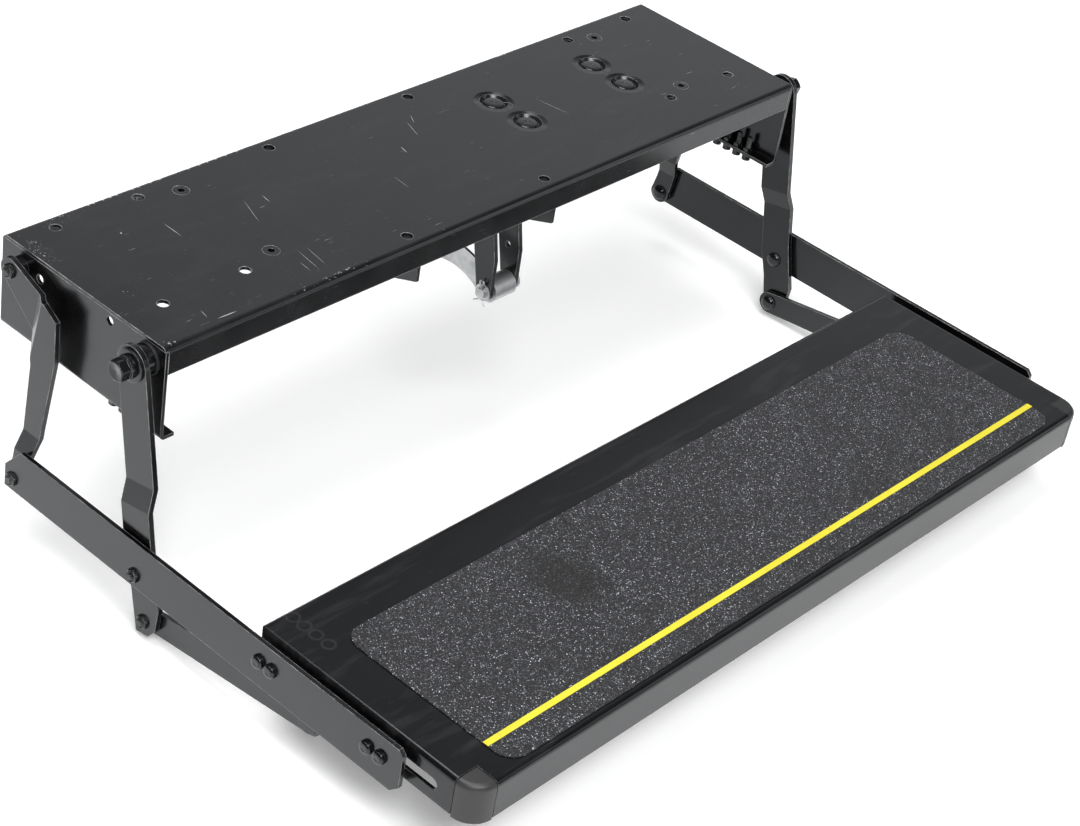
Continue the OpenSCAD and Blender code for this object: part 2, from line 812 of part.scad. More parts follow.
module front_leg() {
    deep = leg_len + link_lever + leg_tail + 1;
    color("black") difference() {
        leaning(shaft_at) intersection() {
            leg_blank(leg_in - 1, foot_out + 1);
            run(-leg_w, leg_w) mirror([0, 1]) polygon(step_points(leg_in, leg_t, joggle,
                joggle_start, joggle_start + joggle_len, -leg_w, deep));
        }
        leaning(shaft_at) slab(leg_in - 1, leg_out + 1) spigot(seat_gap);
        rod(arm_pivot, pivot_r + seat_gap, foot_in - 1, foot_out + 1);
        rod(link_pivot, pivot_r + seat_gap, foot_in - 1, foot_out + 1);
    }
}

module front_leg_left() {
    mirror([1, 0, 0]) front_leg();
}

module front_leg_right() {
    front_leg();
}

module hub_spacers() {
    color("gray") both_ends() ring(shaft_at, shaft_r + 4, shaft_r + seat_gap,
        half_w + bush_flange_t + face_gap, leg_in);
}

module hub_washers() {
    color("silver") both_ends() ring(shaft_at, hub_washer_d / 2, hub_bolt_d / 2 + seat_gap, leg_out, hub_out);
}

module hub_bolts() {
    color("black") both_ends() {
        rod(shaft_at, hub_collar_d / 2, hub_out, hub_out + hub_collar_t);
        hex_rod(shaft_at, hub_bolt_af, hub_out + hub_collar_t, hub_out + hub_collar_t + hub_bolt_h);
        rod(shaft_at, hub_bolt_d / 2, leg_out - hub_thread_depth + 3, hub_out + 1);
    }
}

lever_hub_r = 12;
lever_tip_r = 8;
module lever(x0) {
    color("black") difference() {
        leaning(shaft_at) union() {
            rod([0, 0], lever_hub_r, x0, x0 + lever_t);
            rod([0, -lever_len], lever_tip_r, x0, x0 + lever_t);
            slab(x0, x0 + lever_t) polygon([[lever_hub_r, 0], [lever_tip_r, -lever_len],
                [-lever_tip_r, -lever_len], [-lever_hub_r * 1.1, -lever_len * 0.55], [-lever_hub_r, 0]]);
        }
        rod(shaft_at, shaft_r + seat_gap, x0 - 1, x0 + lever_t + 1);
        rod(lever_end, pin_r + seat_gap, x0 - 1, x0 + lever_t + 1);
    }
}

module lever_left() {
    lever(-lever_out);
}

spring_hole_r = 3;
module lever_right() {
    color("black") difference() {
        lever(lever_in);
        rod(shaft_at + lever_len * 0.5 * lean_dir, spring_hole_r, lever_in - 1, lever_out + 1);
    }
}

pin_head_t = 3;
pin_tail = 4.5;
clip_t = 1.2;
module lever_pin() {
    color("silver") {
        rod(lever_end, pin_r, -lever_out - pin_tail, lever_out + 1);
        rod(lever_end, pin_r + 3, lever_out, lever_out + pin_head_t);
    }
}

module lever_pin_clip() {
    color("silver") ring(lever_end, pin_r + 3, pin_r + seat_gap, -lever_out - clip_t, -lever_out);
}

// Shank of a shoulder bolt, whose thinner end goes through the nut seated at x1
nut_tail = 1;
module pivot_shank(at, x0, x1) {
    rod(at, pivot_r, x0, x1);
    rod(at, pivot_end_r, x1 - 1, x1 + pivot_nut_h + nut_tail);
}

// Shoulder bolt with its domed head at x0 on the inner side and its nut's seat at x1
module pivot_bolt(at, x0, x1) {
    dome(at, pivot_head_d, x0 - pivot_head_h, x0);
    pivot_shank(at, x0, x1);
}

module pivot_nut(at, x0) {
    difference() {
        hex_rod(at, pivot_nut_af, x0, x0 + pivot_nut_h);
        rod(at, pivot_end_r + seat_gap, x0 - 1, x0 + pivot_nut_h + 1);
    }
}

module arm_pivot_bolts() {
    color("black") both_ends() pivot_bolt(arm_pivot, foot_in, arm_out + face_gap);
}

module arm_pivot_washers() {
    color("gray") both_ends() ring(arm_pivot, pivot_r + 5, pivot_r + seat_gap, foot_out, arm_in - face_gap);
}

module arm_pivot_nuts() {
    color("gray") both_ends() pivot_nut(arm_pivot, arm_out + face_gap);
}

module link_pivot_bolts() {
    color("black") both_ends() pivot_bolt(link_pivot, link_in - face_gap, foot_out);
}

module link_pivot_washers() {
    color("gray") both_ends() ring(link_pivot, pivot_r + 4, pivot_r + seat_gap, link_out + face_gap, foot_in);
}

module link_pivot_nuts() {
    color("gray") both_ends() pivot_nut(link_pivot, foot_out);
}

// Arms

// Chamfers at the upper and the lower corner of the arm's front end
arm_front_chamfers = [4.5, 8];
module arm_outline() {
    top = tread_z;
    bottom = top - arm_h;
    back = arm_rear_pivot[0] + arm_tail;
    upper = arm_front_chamfers[0];
    lower = arm_front_chamfers[1];
    polygon([[back, bottom], [back, top - arm_h * 0.5], [back - arm_h * 0.45, top], [arm_front + upper, top],
        [arm_front, top - upper], [arm_front, bottom + lower], [arm_front + lower, bottom]]);
}

// The four slide bolts of one arm
module at_slide_bolts() {
    for (y = block_starts, i = [0, 1]) translate([0, y + i * slide_pitch, slide_z]) children();
}

module arm() {
    color("black") difference() {
        slab(arm_in, arm_out) arm_outline();
        rod(arm_pivot, pivot_r + run_gap, arm_in - 1, arm_out + 1);
        rod(arm_rear_pivot, pivot_r + seat_gap, arm_in - 1, arm_out + 1);
        at_slide_bolts() rod([0, 0], slide_bolt_d / 2 + seat_gap, arm_in - 1, arm_out + 1);
    }
}

module arm_left() {
    mirror([1, 0, 0]) arm();
}

module arm_right() {
    arm();
}

// Outline round the two bolts of a slide block
module block_outline(y, h) {
    slot([y, slide_z], [y + slide_pitch, slide_z], h);
}

module slide_blocks() {
    color("black") both_ends() difference() {
        for (y = block_starts) {
            slab(tread_half + face_gap, arm_in) block_outline(y, block_h);
            slab(skirt_in - face_gap, arm_in) block_outline(y, slot_h - 2 * run_gap);
        }
        at_slide_bolts() rod([0, 0], slide_bolt_d / 2 + seat_gap, skirt_in - 2, arm_in + 1);
    }
}

module slide_keepers() {
    color("gray") both_ends() difference() {
        for (y = block_starts) slab(keeper_in, keeper_in + keeper_t) block_outline(y, block_h);
        at_slide_bolts() rod([0, 0], slide_bolt_d / 2 + seat_gap, keeper_in - 1, keeper_in + keeper_t + 1);
    }
}

slide_head_h = 4;
slide_nut_af = 10;
module slide_bolts() {
    color("black") both_ends() at_slide_bolts() {
        mirror([1, 0, 0]) dome([0, 0], slide_bolt_d * 2, -arm_out - slide_head_h, -arm_out);
        rod([0, 0], slide_bolt_d / 2, slide_bolt_in, arm_out);
    }
}

module slide_nuts() {
    color("gray") both_ends() at_slide_bolts() difference() {
        hex_rod([0, 0], slide_nut_af, keeper_in - slide_nut_h, keeper_in);
        rod([0, 0], slide_bolt_d / 2 + seat_gap, slide_bolt_in, keeper_in + 1);
    }
}

module arm_rear_bolts() {
    color("black") both_ends() pivot_bolt(arm_rear_pivot, rear_foot_in - face_gap, arm_out);
}

module arm_rear_washers() {
    color("gray") both_ends()
        ring(arm_rear_pivot, pivot_r + 5, pivot_r + seat_gap, foot_out + face_gap, arm_in);
}

module arm_rear_nuts() {
    color("gray") both_ends() pivot_nut(arm_rear_pivot, arm_out);
}

// Rear legs

// Outline of the dog-leg strip, from points measured from its two pivots
module rear_leg_outline() {
    a = rear_pivot;
    d = arm_rear_pivot;
    translate(a) circle(r = rear_top_r);
    translate(d) circle(r = rear_foot_r);
    polygon([a + rear_top_r * [-0.386, 0.922], a + [-42, -4], a + [-47, -4], a + [-62.5, -13],
        a + [-63, -50.6], d + [-18.6, 54], d + [-15.8, 36.6], d + [-rear_foot_r, 0],
        d + [rear_foot_r, 0], d + [6.8, 16.8], d + [3.4, 40.7], a + [-34.4, -67.1],
        a + [-30.8, -38.9], a + rear_top_r * [0.63, -0.776]]);
}

knee_at = [-38.5, -21.5];
knee_half = 4;
rear_split = 92;
rear_joggle = [150, 168];
module rear_leg() {
    big = 300;
    split_z = rear_pivot[1] - rear_split;
    color("black") difference() {
        intersection() {
            slab(rear_top_in - 1, foot_out + 1) rear_leg_outline();
            union() {
                intersection() {
                    translate([0, rear_pivot[0] + knee_at[0], rear_pivot[1] + knee_at[1]])
                        rotate([knee_tilt, 0, 0]) linear_extrude(big, center = true) mirror([0, 1])
                            polygon(step_points(rear_top_in, rear_leg_t, knee_step,
                                -knee_half, knee_half, -big, big));
                    translate([0, -big, split_z]) cube([big * 3, big * 2, big]);
                }
                intersection() {
                    run(-big, big) mirror([0, 1]) polygon(step_points(rear_mid_in, rear_leg_t,
                        rear_foot_in - rear_mid_in, rear_joggle[0], rear_joggle[1], 0, big));
                    translate([0, -big, split_z - big]) cube([big * 3, big * 2, big]);
                }
            }
        }
        rod(rear_pivot, pivot_r + run_gap, rear_top_in - 1, rear_top_in + rear_leg_t + 1);
        rod(arm_rear_pivot, pivot_r + run_gap, rear_foot_in - 1, foot_out + 1);
    }
}

module rear_leg_left() {
    mirror([1, 0, 0]) rear_leg();
}

module rear_leg_right() {
    rear_leg();
}

// Tread

// Solid that fills the tread, shrunk by t on every side but the bottom
module tread_form(t) {
    mid = (tread_front + tread_back) / 2;
    translate([0, 0, tread_z - t]) intersection() {
        slab(-tread_half, tread_half) translate([mid, 0]) arch(tread_d - 2 * t, skirt_h + t, bend_r - t);
        run(tread_front, tread_back) arch(tread_w - 2 * t, skirt_h + t, bend_r - t);
    }
}

// Gap that a slide block leaves at the end of its slot
slot_spare = 1;
module slots() {
    both_ends() slab(skirt_in - 1, tread_half + 1)
        for (y = block_starts)
            slot([y - slide_travel - slot_spare, slide_z], [y + slide_pitch + slot_spare, slide_z], slot_h);
}

back_chamfer = 5;
module tread() {
    notch = corner_r + corner_seam;
    side = tread_half + 1;
    back = tread_back + 1;
    cut = back_chamfer + 2;
    color("black") difference() {
        intersection() {
            tread_form(0);
            translate([0, 0, tread_z - skirt_h]) linear_extrude(skirt_h + 1) polygon([
                [-side, tread_front - 1], [side, tread_front - 1], [side, back - cut],
                [side - cut, back], [cut - side, back], [-side, back - cut]]);
        }
        tread_form(tread_t);
        translate([-tread_half - 1, tread_back - tread_t - 1, tread_z - skirt_h - 1])
            cube([tread_w + 2, tread_t + 2, skirt_h + 1 - back_flange_h]);
        both_ends() translate([tread_half - notch, tread_front - 1, tread_z - skirt_h - 1])
            cube([notch + 1, notch + 1, skirt_h + 2]);
        slots();
    }
}

cap_drop = 1.5;
cap_tab = 9;
module corner_caps() {
    h = skirt_h + cap_drop;
    cap_at = [tread_half - corner_r, tread_front + corner_r];
    under = tread_z - tread_t;
    color("black") both_ends() {
        intersection() {
            translate([cap_at[0], cap_at[1], tread_z]) rotate_extrude() difference() {
                intersection() {
                    arch(2 * corner_r, h, bend_r);
                    translate([0, -h]) square([corner_r, h]);
                }
                translate([0, -corner_wall]) intersection() {
                    arch(2 * (corner_r - corner_wall), h, bend_r - corner_wall);
                    translate([0, -h]) square([corner_r, h]);
                }
            }
            translate([cap_at[0], cap_at[1] - corner_r, tread_z - h]) cube([corner_r, corner_r, h]);
        }
        // tongue that lies under the tread's sheet
        translate([cap_at[0] - cap_tab, cap_at[1] - corner_r + corner_wall + tread_t, under - 2])
            cube([corner_r + cap_tab - 2 * corner_wall, corner_r + cap_tab - corner_wall - tread_t, 2]);
    }
}

module grip_pad() {
    color("darkslategray") translate([0, pad_y + pad_d / 2, tread_z]) linear_extrude(pad_t)
        round_rect(pad_w, pad_d, pad_r);
}

module edge_stripe() {
    color("gold") translate([-pad_w / 2, pad_y + stripe_inset, tread_z + pad_t])
        cube([pad_w, stripe_w, stripe_t]);
}

bracket_flange = 22;
bracket_half = 15;
module link_brackets() {
    top = tread_z - tread_t;
    color("black") both_ends() difference() {
        union() {
            taper_bar([link_pin[0], top - bracket_half], link_pin, bracket_half, link_w / 2,
                link_bracket_in, link_bracket_out);
            translate([link_bracket_in, link_pin[0] - bracket_half, top - bracket_half])
                cube([link_bracket_t, 2 * bracket_half, bracket_half]);
            translate([link_bracket_out - bracket_flange, link_pin[0] - bracket_half, top - link_bracket_t])
                cube([bracket_flange, 2 * bracket_half, link_bracket_t]);
        }
        rod(link_pin, link_pin_d / 2 + seat_gap, link_bracket_in - 1, link_bracket_out + 1);
    }
}

// Pin riveted into its bracket, which the slide bolts pass inside, with a collar that keeps the link
// in its place and a flat head outside the link
module link_pins() {
    x_head = link_out + face_gap;
    color("gray") both_ends() {
        rod(link_pin, link_pin_d / 2, link_bracket_in - 1, x_head + 1);
        rod(link_pin, link_pin_d / 2 + link_play + 1, link_bracket_out, link_in - face_gap);
        rod(link_pin, link_pin_d / 2 + link_play + 2, x_head, x_head + 1.5);
        rod(link_pin, link_pin_d / 2 + 1.5, link_bracket_in - 2.5, link_bracket_in);
    }
}

// Links

module link() {
    color("black") difference() {
        taper_bar(link_pivot, link_eye, link_w / 2, link_front_r, link_in, link_out);
        rod(link_pivot, pivot_r + run_gap, link_in - 1, link_out + 1);
        rod(link_eye, link_pin_d / 2 + link_play, link_in - 1, link_out + 1);
    }
}

module link_left() {
    mirror([1, 0, 0]) link();
}

module link_right() {
    link();
}

// Crank and coupler

module crank_shaft() {
    r = crank_shaft_d / 2;
    x_left = bracket_left_x + sheet_t + bush_flange_t;
    color("gray") {
        rod(crank_at, r, -x_left - 4, crank_shaft_end);
        rod(crank_at, r + 2.5, -x_left - 3, -x_left - face_gap);
    }
}

crank_hub_r = 14;
crank_web = 8;
module crank_arm() {
    w = coupler_in - face_gap;
    color("gray") difference() {
        union() {
            taper_bar(crank_at, crank_end, crank_hub_r, coupler_r - 1, -crank_web / 2, crank_web / 2);
            rod(crank_at, crank_hub_r, -w, w);
            rod(crank_end, coupler_r - 1, -w, crank_web / 2);
            rod(crank_end, pin_r, -coupler_out - face_gap - clip_t, 0);
            rod(crank_end, pin_r + 2, -coupler_out - face_gap - clip_t, -coupler_out - face_gap);
        }
        rod(crank_at, crank_shaft_d / 2 + seat_gap, -w - 1, w + 1);
    }
}

// Bowed long side of the coupler, between the lever pin and the crank pin
module coupler_side() {
    span = crank_end - lever_end;
    c = norm(span);
    bow_r = (c * c / 4 + coupler_bow * coupler_bow) / (2 * coupler_bow);
    mid = (lever_end + crank_end) / 2 + (bow_r - coupler_bow) * [span[1], -span[0]] / c;
    translate(lever_end) circle(r = coupler_r);
    translate(crank_end) circle(r = coupler_r);
    intersection() {
        translate(mid) difference() {
            circle(r = bow_r + coupler_r);
            circle(r = bow_r - coupler_r);
        }
        polygon([mid, mid + 2 * (lever_end - mid), mid + 3 * (lever_end + crank_end - 2 * mid) / 2,
            mid + 2 * (crank_end - mid)]);
    }
}

module coupler() {
    color("silver") difference() {
        union() {
            slab(-coupler_out, -coupler_in) coupler_side();
            rod(lever_end, coupler_r, coupler_in, coupler_out);
            slab(-coupler_out, coupler_out) intersection() {
                translate(lever_end) difference() {
                    circle(r = coupler_r);
                    circle(r = coupler_r - coupler_t);
                }
                translate(lever_end - [2 * coupler_r, coupler_r]) square([2 * coupler_r, 2 * coupler_r]);
            }
        }
        rod(lever_end, pin_r + run_gap, -lever_in, lever_in);
        rod(crank_end, pin_r + 2 * run_gap, -lever_in, lever_in);
    }
}

top_plate();
side_plate_left();
side_plate_right();
inner_bracket_left();
inner_bracket_right();
shaft_bushes();
crank_bushes();
rear_pivot_bolts();
rear_pivot_spacers();
rear_pivot_nuts();
lip_bolts();
lip_nuts();
clinch_nuts();
gearbox_housing();
gearbox_cover();
gearbox_screws();
motor_can();
motor_end_cap();
motor_bracket();
motor_bracket_screws();
motor_bracket_nuts();
drive_shaft();
front_leg_left();
front_leg_right();
hub_spacers();
hub_washers();
hub_bolts();
lever_left();
lever_right();
lever_pin();
lever_pin_clip();
arm_pivot_bolts();
arm_pivot_washers();
arm_pivot_nuts();
link_pivot_bolts();
link_pivot_washers();
link_pivot_nuts();
arm_left();
arm_right();
slide_blocks();
slide_keepers();
slide_bolts();
slide_nuts();
arm_rear_bolts();
arm_rear_washers();
arm_rear_nuts();
rear_leg_left();
rear_leg_right();
tread();
corner_caps();
grip_pad();
edge_stripe();
link_brackets();
link_pins();
link_left();
link_right();
crank_shaft();
crank_arm();
coupler();
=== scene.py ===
"""Looks of the caravan pull out step: paint, grit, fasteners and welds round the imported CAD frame."""

import json
import math

import bmesh
import bpy
from mathutils import Matrix, Vector


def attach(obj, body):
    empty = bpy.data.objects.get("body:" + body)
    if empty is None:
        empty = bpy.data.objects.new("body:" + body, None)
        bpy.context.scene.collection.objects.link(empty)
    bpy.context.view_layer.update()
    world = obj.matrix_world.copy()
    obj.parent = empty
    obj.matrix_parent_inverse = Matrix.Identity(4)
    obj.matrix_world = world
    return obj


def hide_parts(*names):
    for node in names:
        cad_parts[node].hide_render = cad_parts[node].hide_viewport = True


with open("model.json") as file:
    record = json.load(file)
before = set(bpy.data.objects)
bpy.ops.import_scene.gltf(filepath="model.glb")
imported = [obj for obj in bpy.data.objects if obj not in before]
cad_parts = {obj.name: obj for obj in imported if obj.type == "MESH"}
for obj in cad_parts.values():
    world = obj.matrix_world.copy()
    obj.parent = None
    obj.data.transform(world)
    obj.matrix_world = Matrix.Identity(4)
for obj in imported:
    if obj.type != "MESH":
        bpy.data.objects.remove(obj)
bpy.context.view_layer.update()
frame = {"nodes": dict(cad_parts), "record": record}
MM = 0.001

# Sizes and places in millimetres, the same as in the part's source. Places across the step are (y, z)
HALF_W, HALF_D, SHEET = 380.0, 97.0, 3.0
FACE_GAP = 0.3
LEAN = math.radians(10.5)
DOWN = (-math.sin(LEAN), -math.cos(LEAN))
SHAFT = (-77.5, -18.0)
REAR = (73.0, -18.0)
ARM_REACH, LINK_REACH, LEVER_REACH = 177, 222, 70
PIVOT_PITCH = 150.5


def along(start, direction, length):
    return (start[0] + direction[0] * length, start[1] + direction[1] * length)


ARM = along(SHAFT, DOWN, ARM_REACH)
ARM_REAR = (ARM[0] + PIVOT_PITCH, ARM[1])
LINK = along(SHAFT, DOWN, LINK_REACH)
LEVER_END = along(SHAFT, DOWN, LEVER_REACH)
ARM_FRONT = ARM[0] - 292.2
TREAD_Z = ARM[1] + 31
TREAD_HALF = 397.5
FOOT_IN, FOOT_OUT, ARM_OUT = 397.7, 402.5, 408.3
REAR_TOP_IN, REAR_LEG_T = 387, 4.5
# A link and the washer beside it
LINK_STACK = 5
SLIDE_Z = ARM[1] + 12
SLIDE_Y = [ARM_FRONT + 21 + step for step in (0, 13.4, 115.6, 129)]
KEEPER_T = 2
# Centres of the pressed cups in the top plate: two pairs, over the motor's bracket
CUPS = [(x, 14.5 + dy) for x in (110, 242) for dy in (-20.5, 20.5)]


# Node helpers


class Look:
    """A material under construction."""

    def __init__(self, name):
        self.mat = bpy.data.materials.new(name)
        self.mat.use_nodes = True
        self.nodes = self.mat.node_tree.nodes
        self.links = self.mat.node_tree.links
        self.shader = self.nodes["Principled BSDF"]
        self.place = self.add("ShaderNodeTexCoord").outputs["Object"]

    def add(self, kind, settings=None, **inputs):
        """A new node. An underscore in an input's name stands for a space."""
        node = self.nodes.new(kind)
        for key, value in (settings or {}).items():
            setattr(node, key, value)
        for key, value in inputs.items():
            self.put(node, key.replace("_", " "), value)
        return node

    def put(self, node, socket, value):
        """Links or sets an input, given by its name or its number."""
        target = node.inputs[socket]
        if isinstance(value, bpy.types.NodeSocket):
            self.links.new(value, target)
        else:
            target.default_value = value

    def math(self, op, a, b, clamp=False):
        node = self.add("ShaderNodeMath", {"operation": op, "use_clamp": clamp})
        self.put(node, 0, a)
        self.put(node, 1, b)
        return node.outputs[0]

    def vector(self, op, a, b=None):
        """Vector arithmetic: the node, whose outputs are Vector and Value."""
        node = self.add("ShaderNodeVectorMath", {"operation": op})
        self.put(node, 0, a)
        if b is not None:
            self.put(node, 1, b)
        return node

    def spread(self, value, low, high, to_low=0.0, to_high=1.0):
        """Maps low to high onto another range, and holds it there."""
        node = self.add("ShaderNodeMapRange", {"clamp": True})
        for number, entry in enumerate((value, low, high, to_low, to_high)):
            self.put(node, number, entry)
        return node.outputs[0]

    def noise(self, scale, detail=3.0, rough=0.55, distortion=0.0, vector=None):
        node = self.add("ShaderNodeTexNoise", Scale=scale, Detail=detail, Roughness=rough,
                        Distortion=distortion, Vector=vector or self.place)
        return node.outputs["Fac"]

    def cells(self, scale):
        return self.add("ShaderNodeTexVoronoi", Scale=scale, Vector=self.place)

    def moved(self, location=(0, 0, 0), rotation=(0, 0, 0), scale=(1, 1, 1)):
        node = self.add("ShaderNodeMapping", Vector=self.place, Location=location, Rotation=rotation, Scale=scale)
        return node.outputs[0]

    def ramp(self, value, stops):
        """A colour ramp through (position, colour)."""
        node = self.add("ShaderNodeValToRGB")
        ends = node.color_ramp.elements
        while len(ends) < len(stops):
            ends.new(0.5)
        for end, (at, colour) in zip(ends, stops):
            end.position = at
            end.color = (*colour, 1.0)
        self.links.new(value, node.inputs[0])
        return node.outputs[0]

    def mix(self, share, a, b):
        """Colour a, with this share of colour b."""
        node = self.add("ShaderNodeMix", {"data_type": "RGBA"})
        self.put(node, 0, share)
        for number, colour in ((6, a), (7, b)):
            self.put(node, number, (*colour, 1.0) if isinstance(colour, tuple) else colour)
        return node.outputs[2]

    def blob(self, centre, size, soft, turned=None):
        """1 in a soft ellipsoid, 0 outside it. Its centre and half sizes are in millimetres.

        It may be turned about z, by an angle in degrees.
        """
        place = self.vector("SUBTRACT", self.place, [c * MM for c in centre]).outputs[0]
        if turned is not None:
            place = self.add("ShaderNodeVectorRotate", {"rotation_type": "Z_AXIS"}, Angle=-math.radians(turned),
                             Vector=place).outputs[0]
        scaled = self.vector("DIVIDE", place, [s * MM for s in size]).outputs[0]
        reach = self.vector("LENGTH", scaled).outputs["Value"]
        return self.spread(reach, 1.0 - soft, 1.0, 1.0, 0.0)

    def cut(self, centre, angle, length, width):
        """One straight scratch in a horizontal face, given in millimetres and degrees."""
        return self.blob((*centre, 0), (length / 2, width / 2, 1000), 0.4, angle)

    def scratches(self, angle, density, seed=0.0):
        """Thin straight scratches in patches: a noise drawn out along one direction."""
        place = self.moved((seed, seed * 1.7, seed * 0.3), (0.35, 0.2, angle), (60, 1700, 1700))
        lines = self.noise(1.0, 1.0, 0.4, 0.25, place)
        patches = self.noise(34, 2.0, 0.5, 0.0, self.moved((seed, 0, 0)))
        where = self.spread(patches, 0.70 - density, 0.78 - density)
        return self.math("MULTIPLY", self.spread(lines, 0.73, 0.79), where)

    def edges(self, radius):
        """How near a surface is to a sharp edge, and the normal rounded over that edge."""
        rounded = self.add("ShaderNodeBevel", {"samples": 6}, Radius=radius).outputs[0]
        flat = self.add("ShaderNodeNewGeometry").outputs["Normal"]
        likeness = self.vector("DOT_PRODUCT", rounded, flat).outputs["Value"]
        return self.math("SUBTRACT", 1.0, likeness), rounded

    def bump(self, height, distance, strength, normal=None):
        node = self.add("ShaderNodeBump", Height=height, Distance=distance, Strength=strength)
        if normal:
            self.links.new(normal, node.inputs["Normal"])
        return node.outputs[0]

    def finish(self, colour, rough, normal=None, **constants):
        self.put(self.shader, "Base Color", colour)
        self.put(self.shader, "Roughness", rough)
        if normal:
            self.put(self.shader, "Normal", normal)
        for key, value in constants.items():
            self.shader.inputs[key.replace("_", " ")].default_value = value
        return self.mat


# Materials

SMEAR = (0.05, 0.05, 0.052)
RING_TINT, RING_HEIGHT = (0.035, 0.035, 0.036), 12.0
PAINT_TINT = (0.92, 0.97, 1.0, 1.0)


def paint(name, dark, light, rough=(0.17, 0.27), peel=0.000015, scuffs=0.3, edge_wear_and_highlight=0.45, worn=(0.3, 0.3, 0.31),
          spots=(), rings=(), dips=(), cuts=(), edge_r=0.0010, ior=1.5, smears=0.12):
    """Powder coat with orange peel, cloudy handling marks, dust, thin scratches, and wear along the edges that is
    also a painted highlight where the rounded edges catch the light.

    peel and edge_r are in metres. Spots are scuffed patches, rings are weld marks, dips are pressed shoulders and
    cuts are single scratches. worn is the colour of the marks and of the edges, where it is both bare metal and a
    painted highlight.
    """
    look = Look(name)
    cloud = look.noise(14, 5, 0.6)
    grain = look.noise(480, 2, 0.5)
    edge, rounded = look.edges(edge_r)
    colour = look.mix(look.spread(cloud, 0.35, 0.7), dark, light)

    # Scratches, dust and scuffs
    marks = look.math("MAXIMUM", look.scratches(0.5, 0.10), look.scratches(2.1, 0.06, seed=3.1))
    dust = look.spread(look.noise(620, 2, 0.7), 0.74, 0.80, 0.0, 0.8)
    marks = look.math("MAXIMUM", marks, dust)
    for centre, angle, length, width in cuts:
        marks = look.math("MAXIMUM", marks, look.cut(centre, angle, length, width))
    for centre, size, share in spots:
        patch = look.blob(centre, size, 0.9)
        flecks = look.noise(420, 4, 0.72)
        bar = look.math("SUBTRACT", 0.80, look.math("MULTIPLY", patch, 0.24 * share))
        speckle = look.spread(look.math("SUBTRACT", flecks, bar), 0.0, 0.04)
        marks = look.math("MAXIMUM", marks, speckle)
    marks = look.math("MULTIPLY", marks, scuffs)
    colour = look.mix(marks, colour, worn)

    # Smears of dry dirt
    smear = look.noise(1.0, 5, 0.65, 0.6, look.moved((0.3, 0.1, 0), (0, 0, 0.5), (9, 60, 60)))
    smear = look.math("MULTIPLY", look.spread(smear, 0.52, 0.75), smears)
    colour = look.mix(smear, colour, SMEAR)

    # Paint rubbed off the edges, together with a painted highlight along them where rounded edges catch the light
    rub = look.spread(look.noise(85, 4, 0.7), 0.42, 0.62)
    rub = look.math("ADD", 0.3, look.math("MULTIPLY", rub, 0.7))
    # Lighter edges: real wear and a painted highlight of light on the rounded edges
    bare_edge_and_highlight = look.math("MULTIPLY", look.math("MULTIPLY", look.spread(edge, 0.02, 0.13), rub), edge_wear_and_highlight)
    colour = look.mix(bare_edge_and_highlight, colour, worn)

    base = look.spread(cloud, 0.3, 0.75, *rough)
    roughness = look.math("ADD", base, look.math("MULTIPLY", marks, 0.3), clamp=True)
    height = look.math("SUBTRACT", look.math("MULTIPLY", grain, 0.6), look.math("MULTIPLY", marks, 0.5))
    for centre, radius in rings:
        outer, inner = (look.blob(centre, (r, r, r), 0.3) for r in (radius, radius * 0.75))
        ring = look.math("SUBTRACT", outer, inner)
        height = look.math("ADD", height, look.math("MULTIPLY", ring, RING_HEIGHT))
        colour = look.mix(look.math("MULTIPLY", ring, 0.5), colour, RING_TINT)
    for centre, radius, depth in dips:
        dip = look.blob(centre, (radius, radius, radius), 0.5)
        height = look.math("SUBTRACT", height, look.math("MULTIPLY", dip, depth * MM / peel))
    normal = look.bump(height, peel, 0.55, rounded)
    return look.finish(colour, roughness, normal, Specular_Tint=PAINT_TINT, IOR=ior)


def plated(name, dark, light, rough, stain, turning=(2600, 260, 260)):
    """Plated or turned metal: fine turning lines, cloudy plating and darker dirt in patches."""
    look = Look(name)
    cloud = look.noise(90, 4, 0.6)
    lines = look.noise(1.0, 3, 0.6, 0.0, look.moved(scale=turning))
    colour = look.mix(look.spread(cloud, 0.3, 0.7), dark, light)
    dirt = look.math("MULTIPLY", look.spread(look.noise(38, 5, 0.65), 0.5, 0.72), stain)
    colour = look.mix(dirt, colour, (0.05, 0.045, 0.04))
    rounded = look.edges(0.0005)[1]
    base = look.spread(lines, 0.3, 0.7, *rough)
    roughness = look.math("ADD", base, look.math("MULTIPLY", dirt, 0.4), clamp=True)
    return look.finish(colour, roughness, look.bump(lines, 0.00001, 0.5, rounded), Metallic=1.0)


def cast(name, dark, light):
    """Die cast alloy with a pebbly skin and dull grey oxide."""
    look = Look(name)
    pits = look.cells(1400).outputs["Distance"]
    cloud = look.noise(40, 5, 0.6)
    edge, rounded = look.edges(0.0008)
    colour = look.mix(look.spread(cloud, 0.3, 0.7), dark, light)
    bright = look.math("MULTIPLY", look.spread(edge, 0.05, 0.25), 0.5)
    colour = look.mix(bright, colour, (0.7, 0.7, 0.71))
    roughness = look.spread(look.noise(700, 2), 0.3, 0.7, 0.38, 0.6)
    return look.finish(colour, roughness, look.bump(pits, 0.00004, 0.5, rounded), Metallic=0.9)


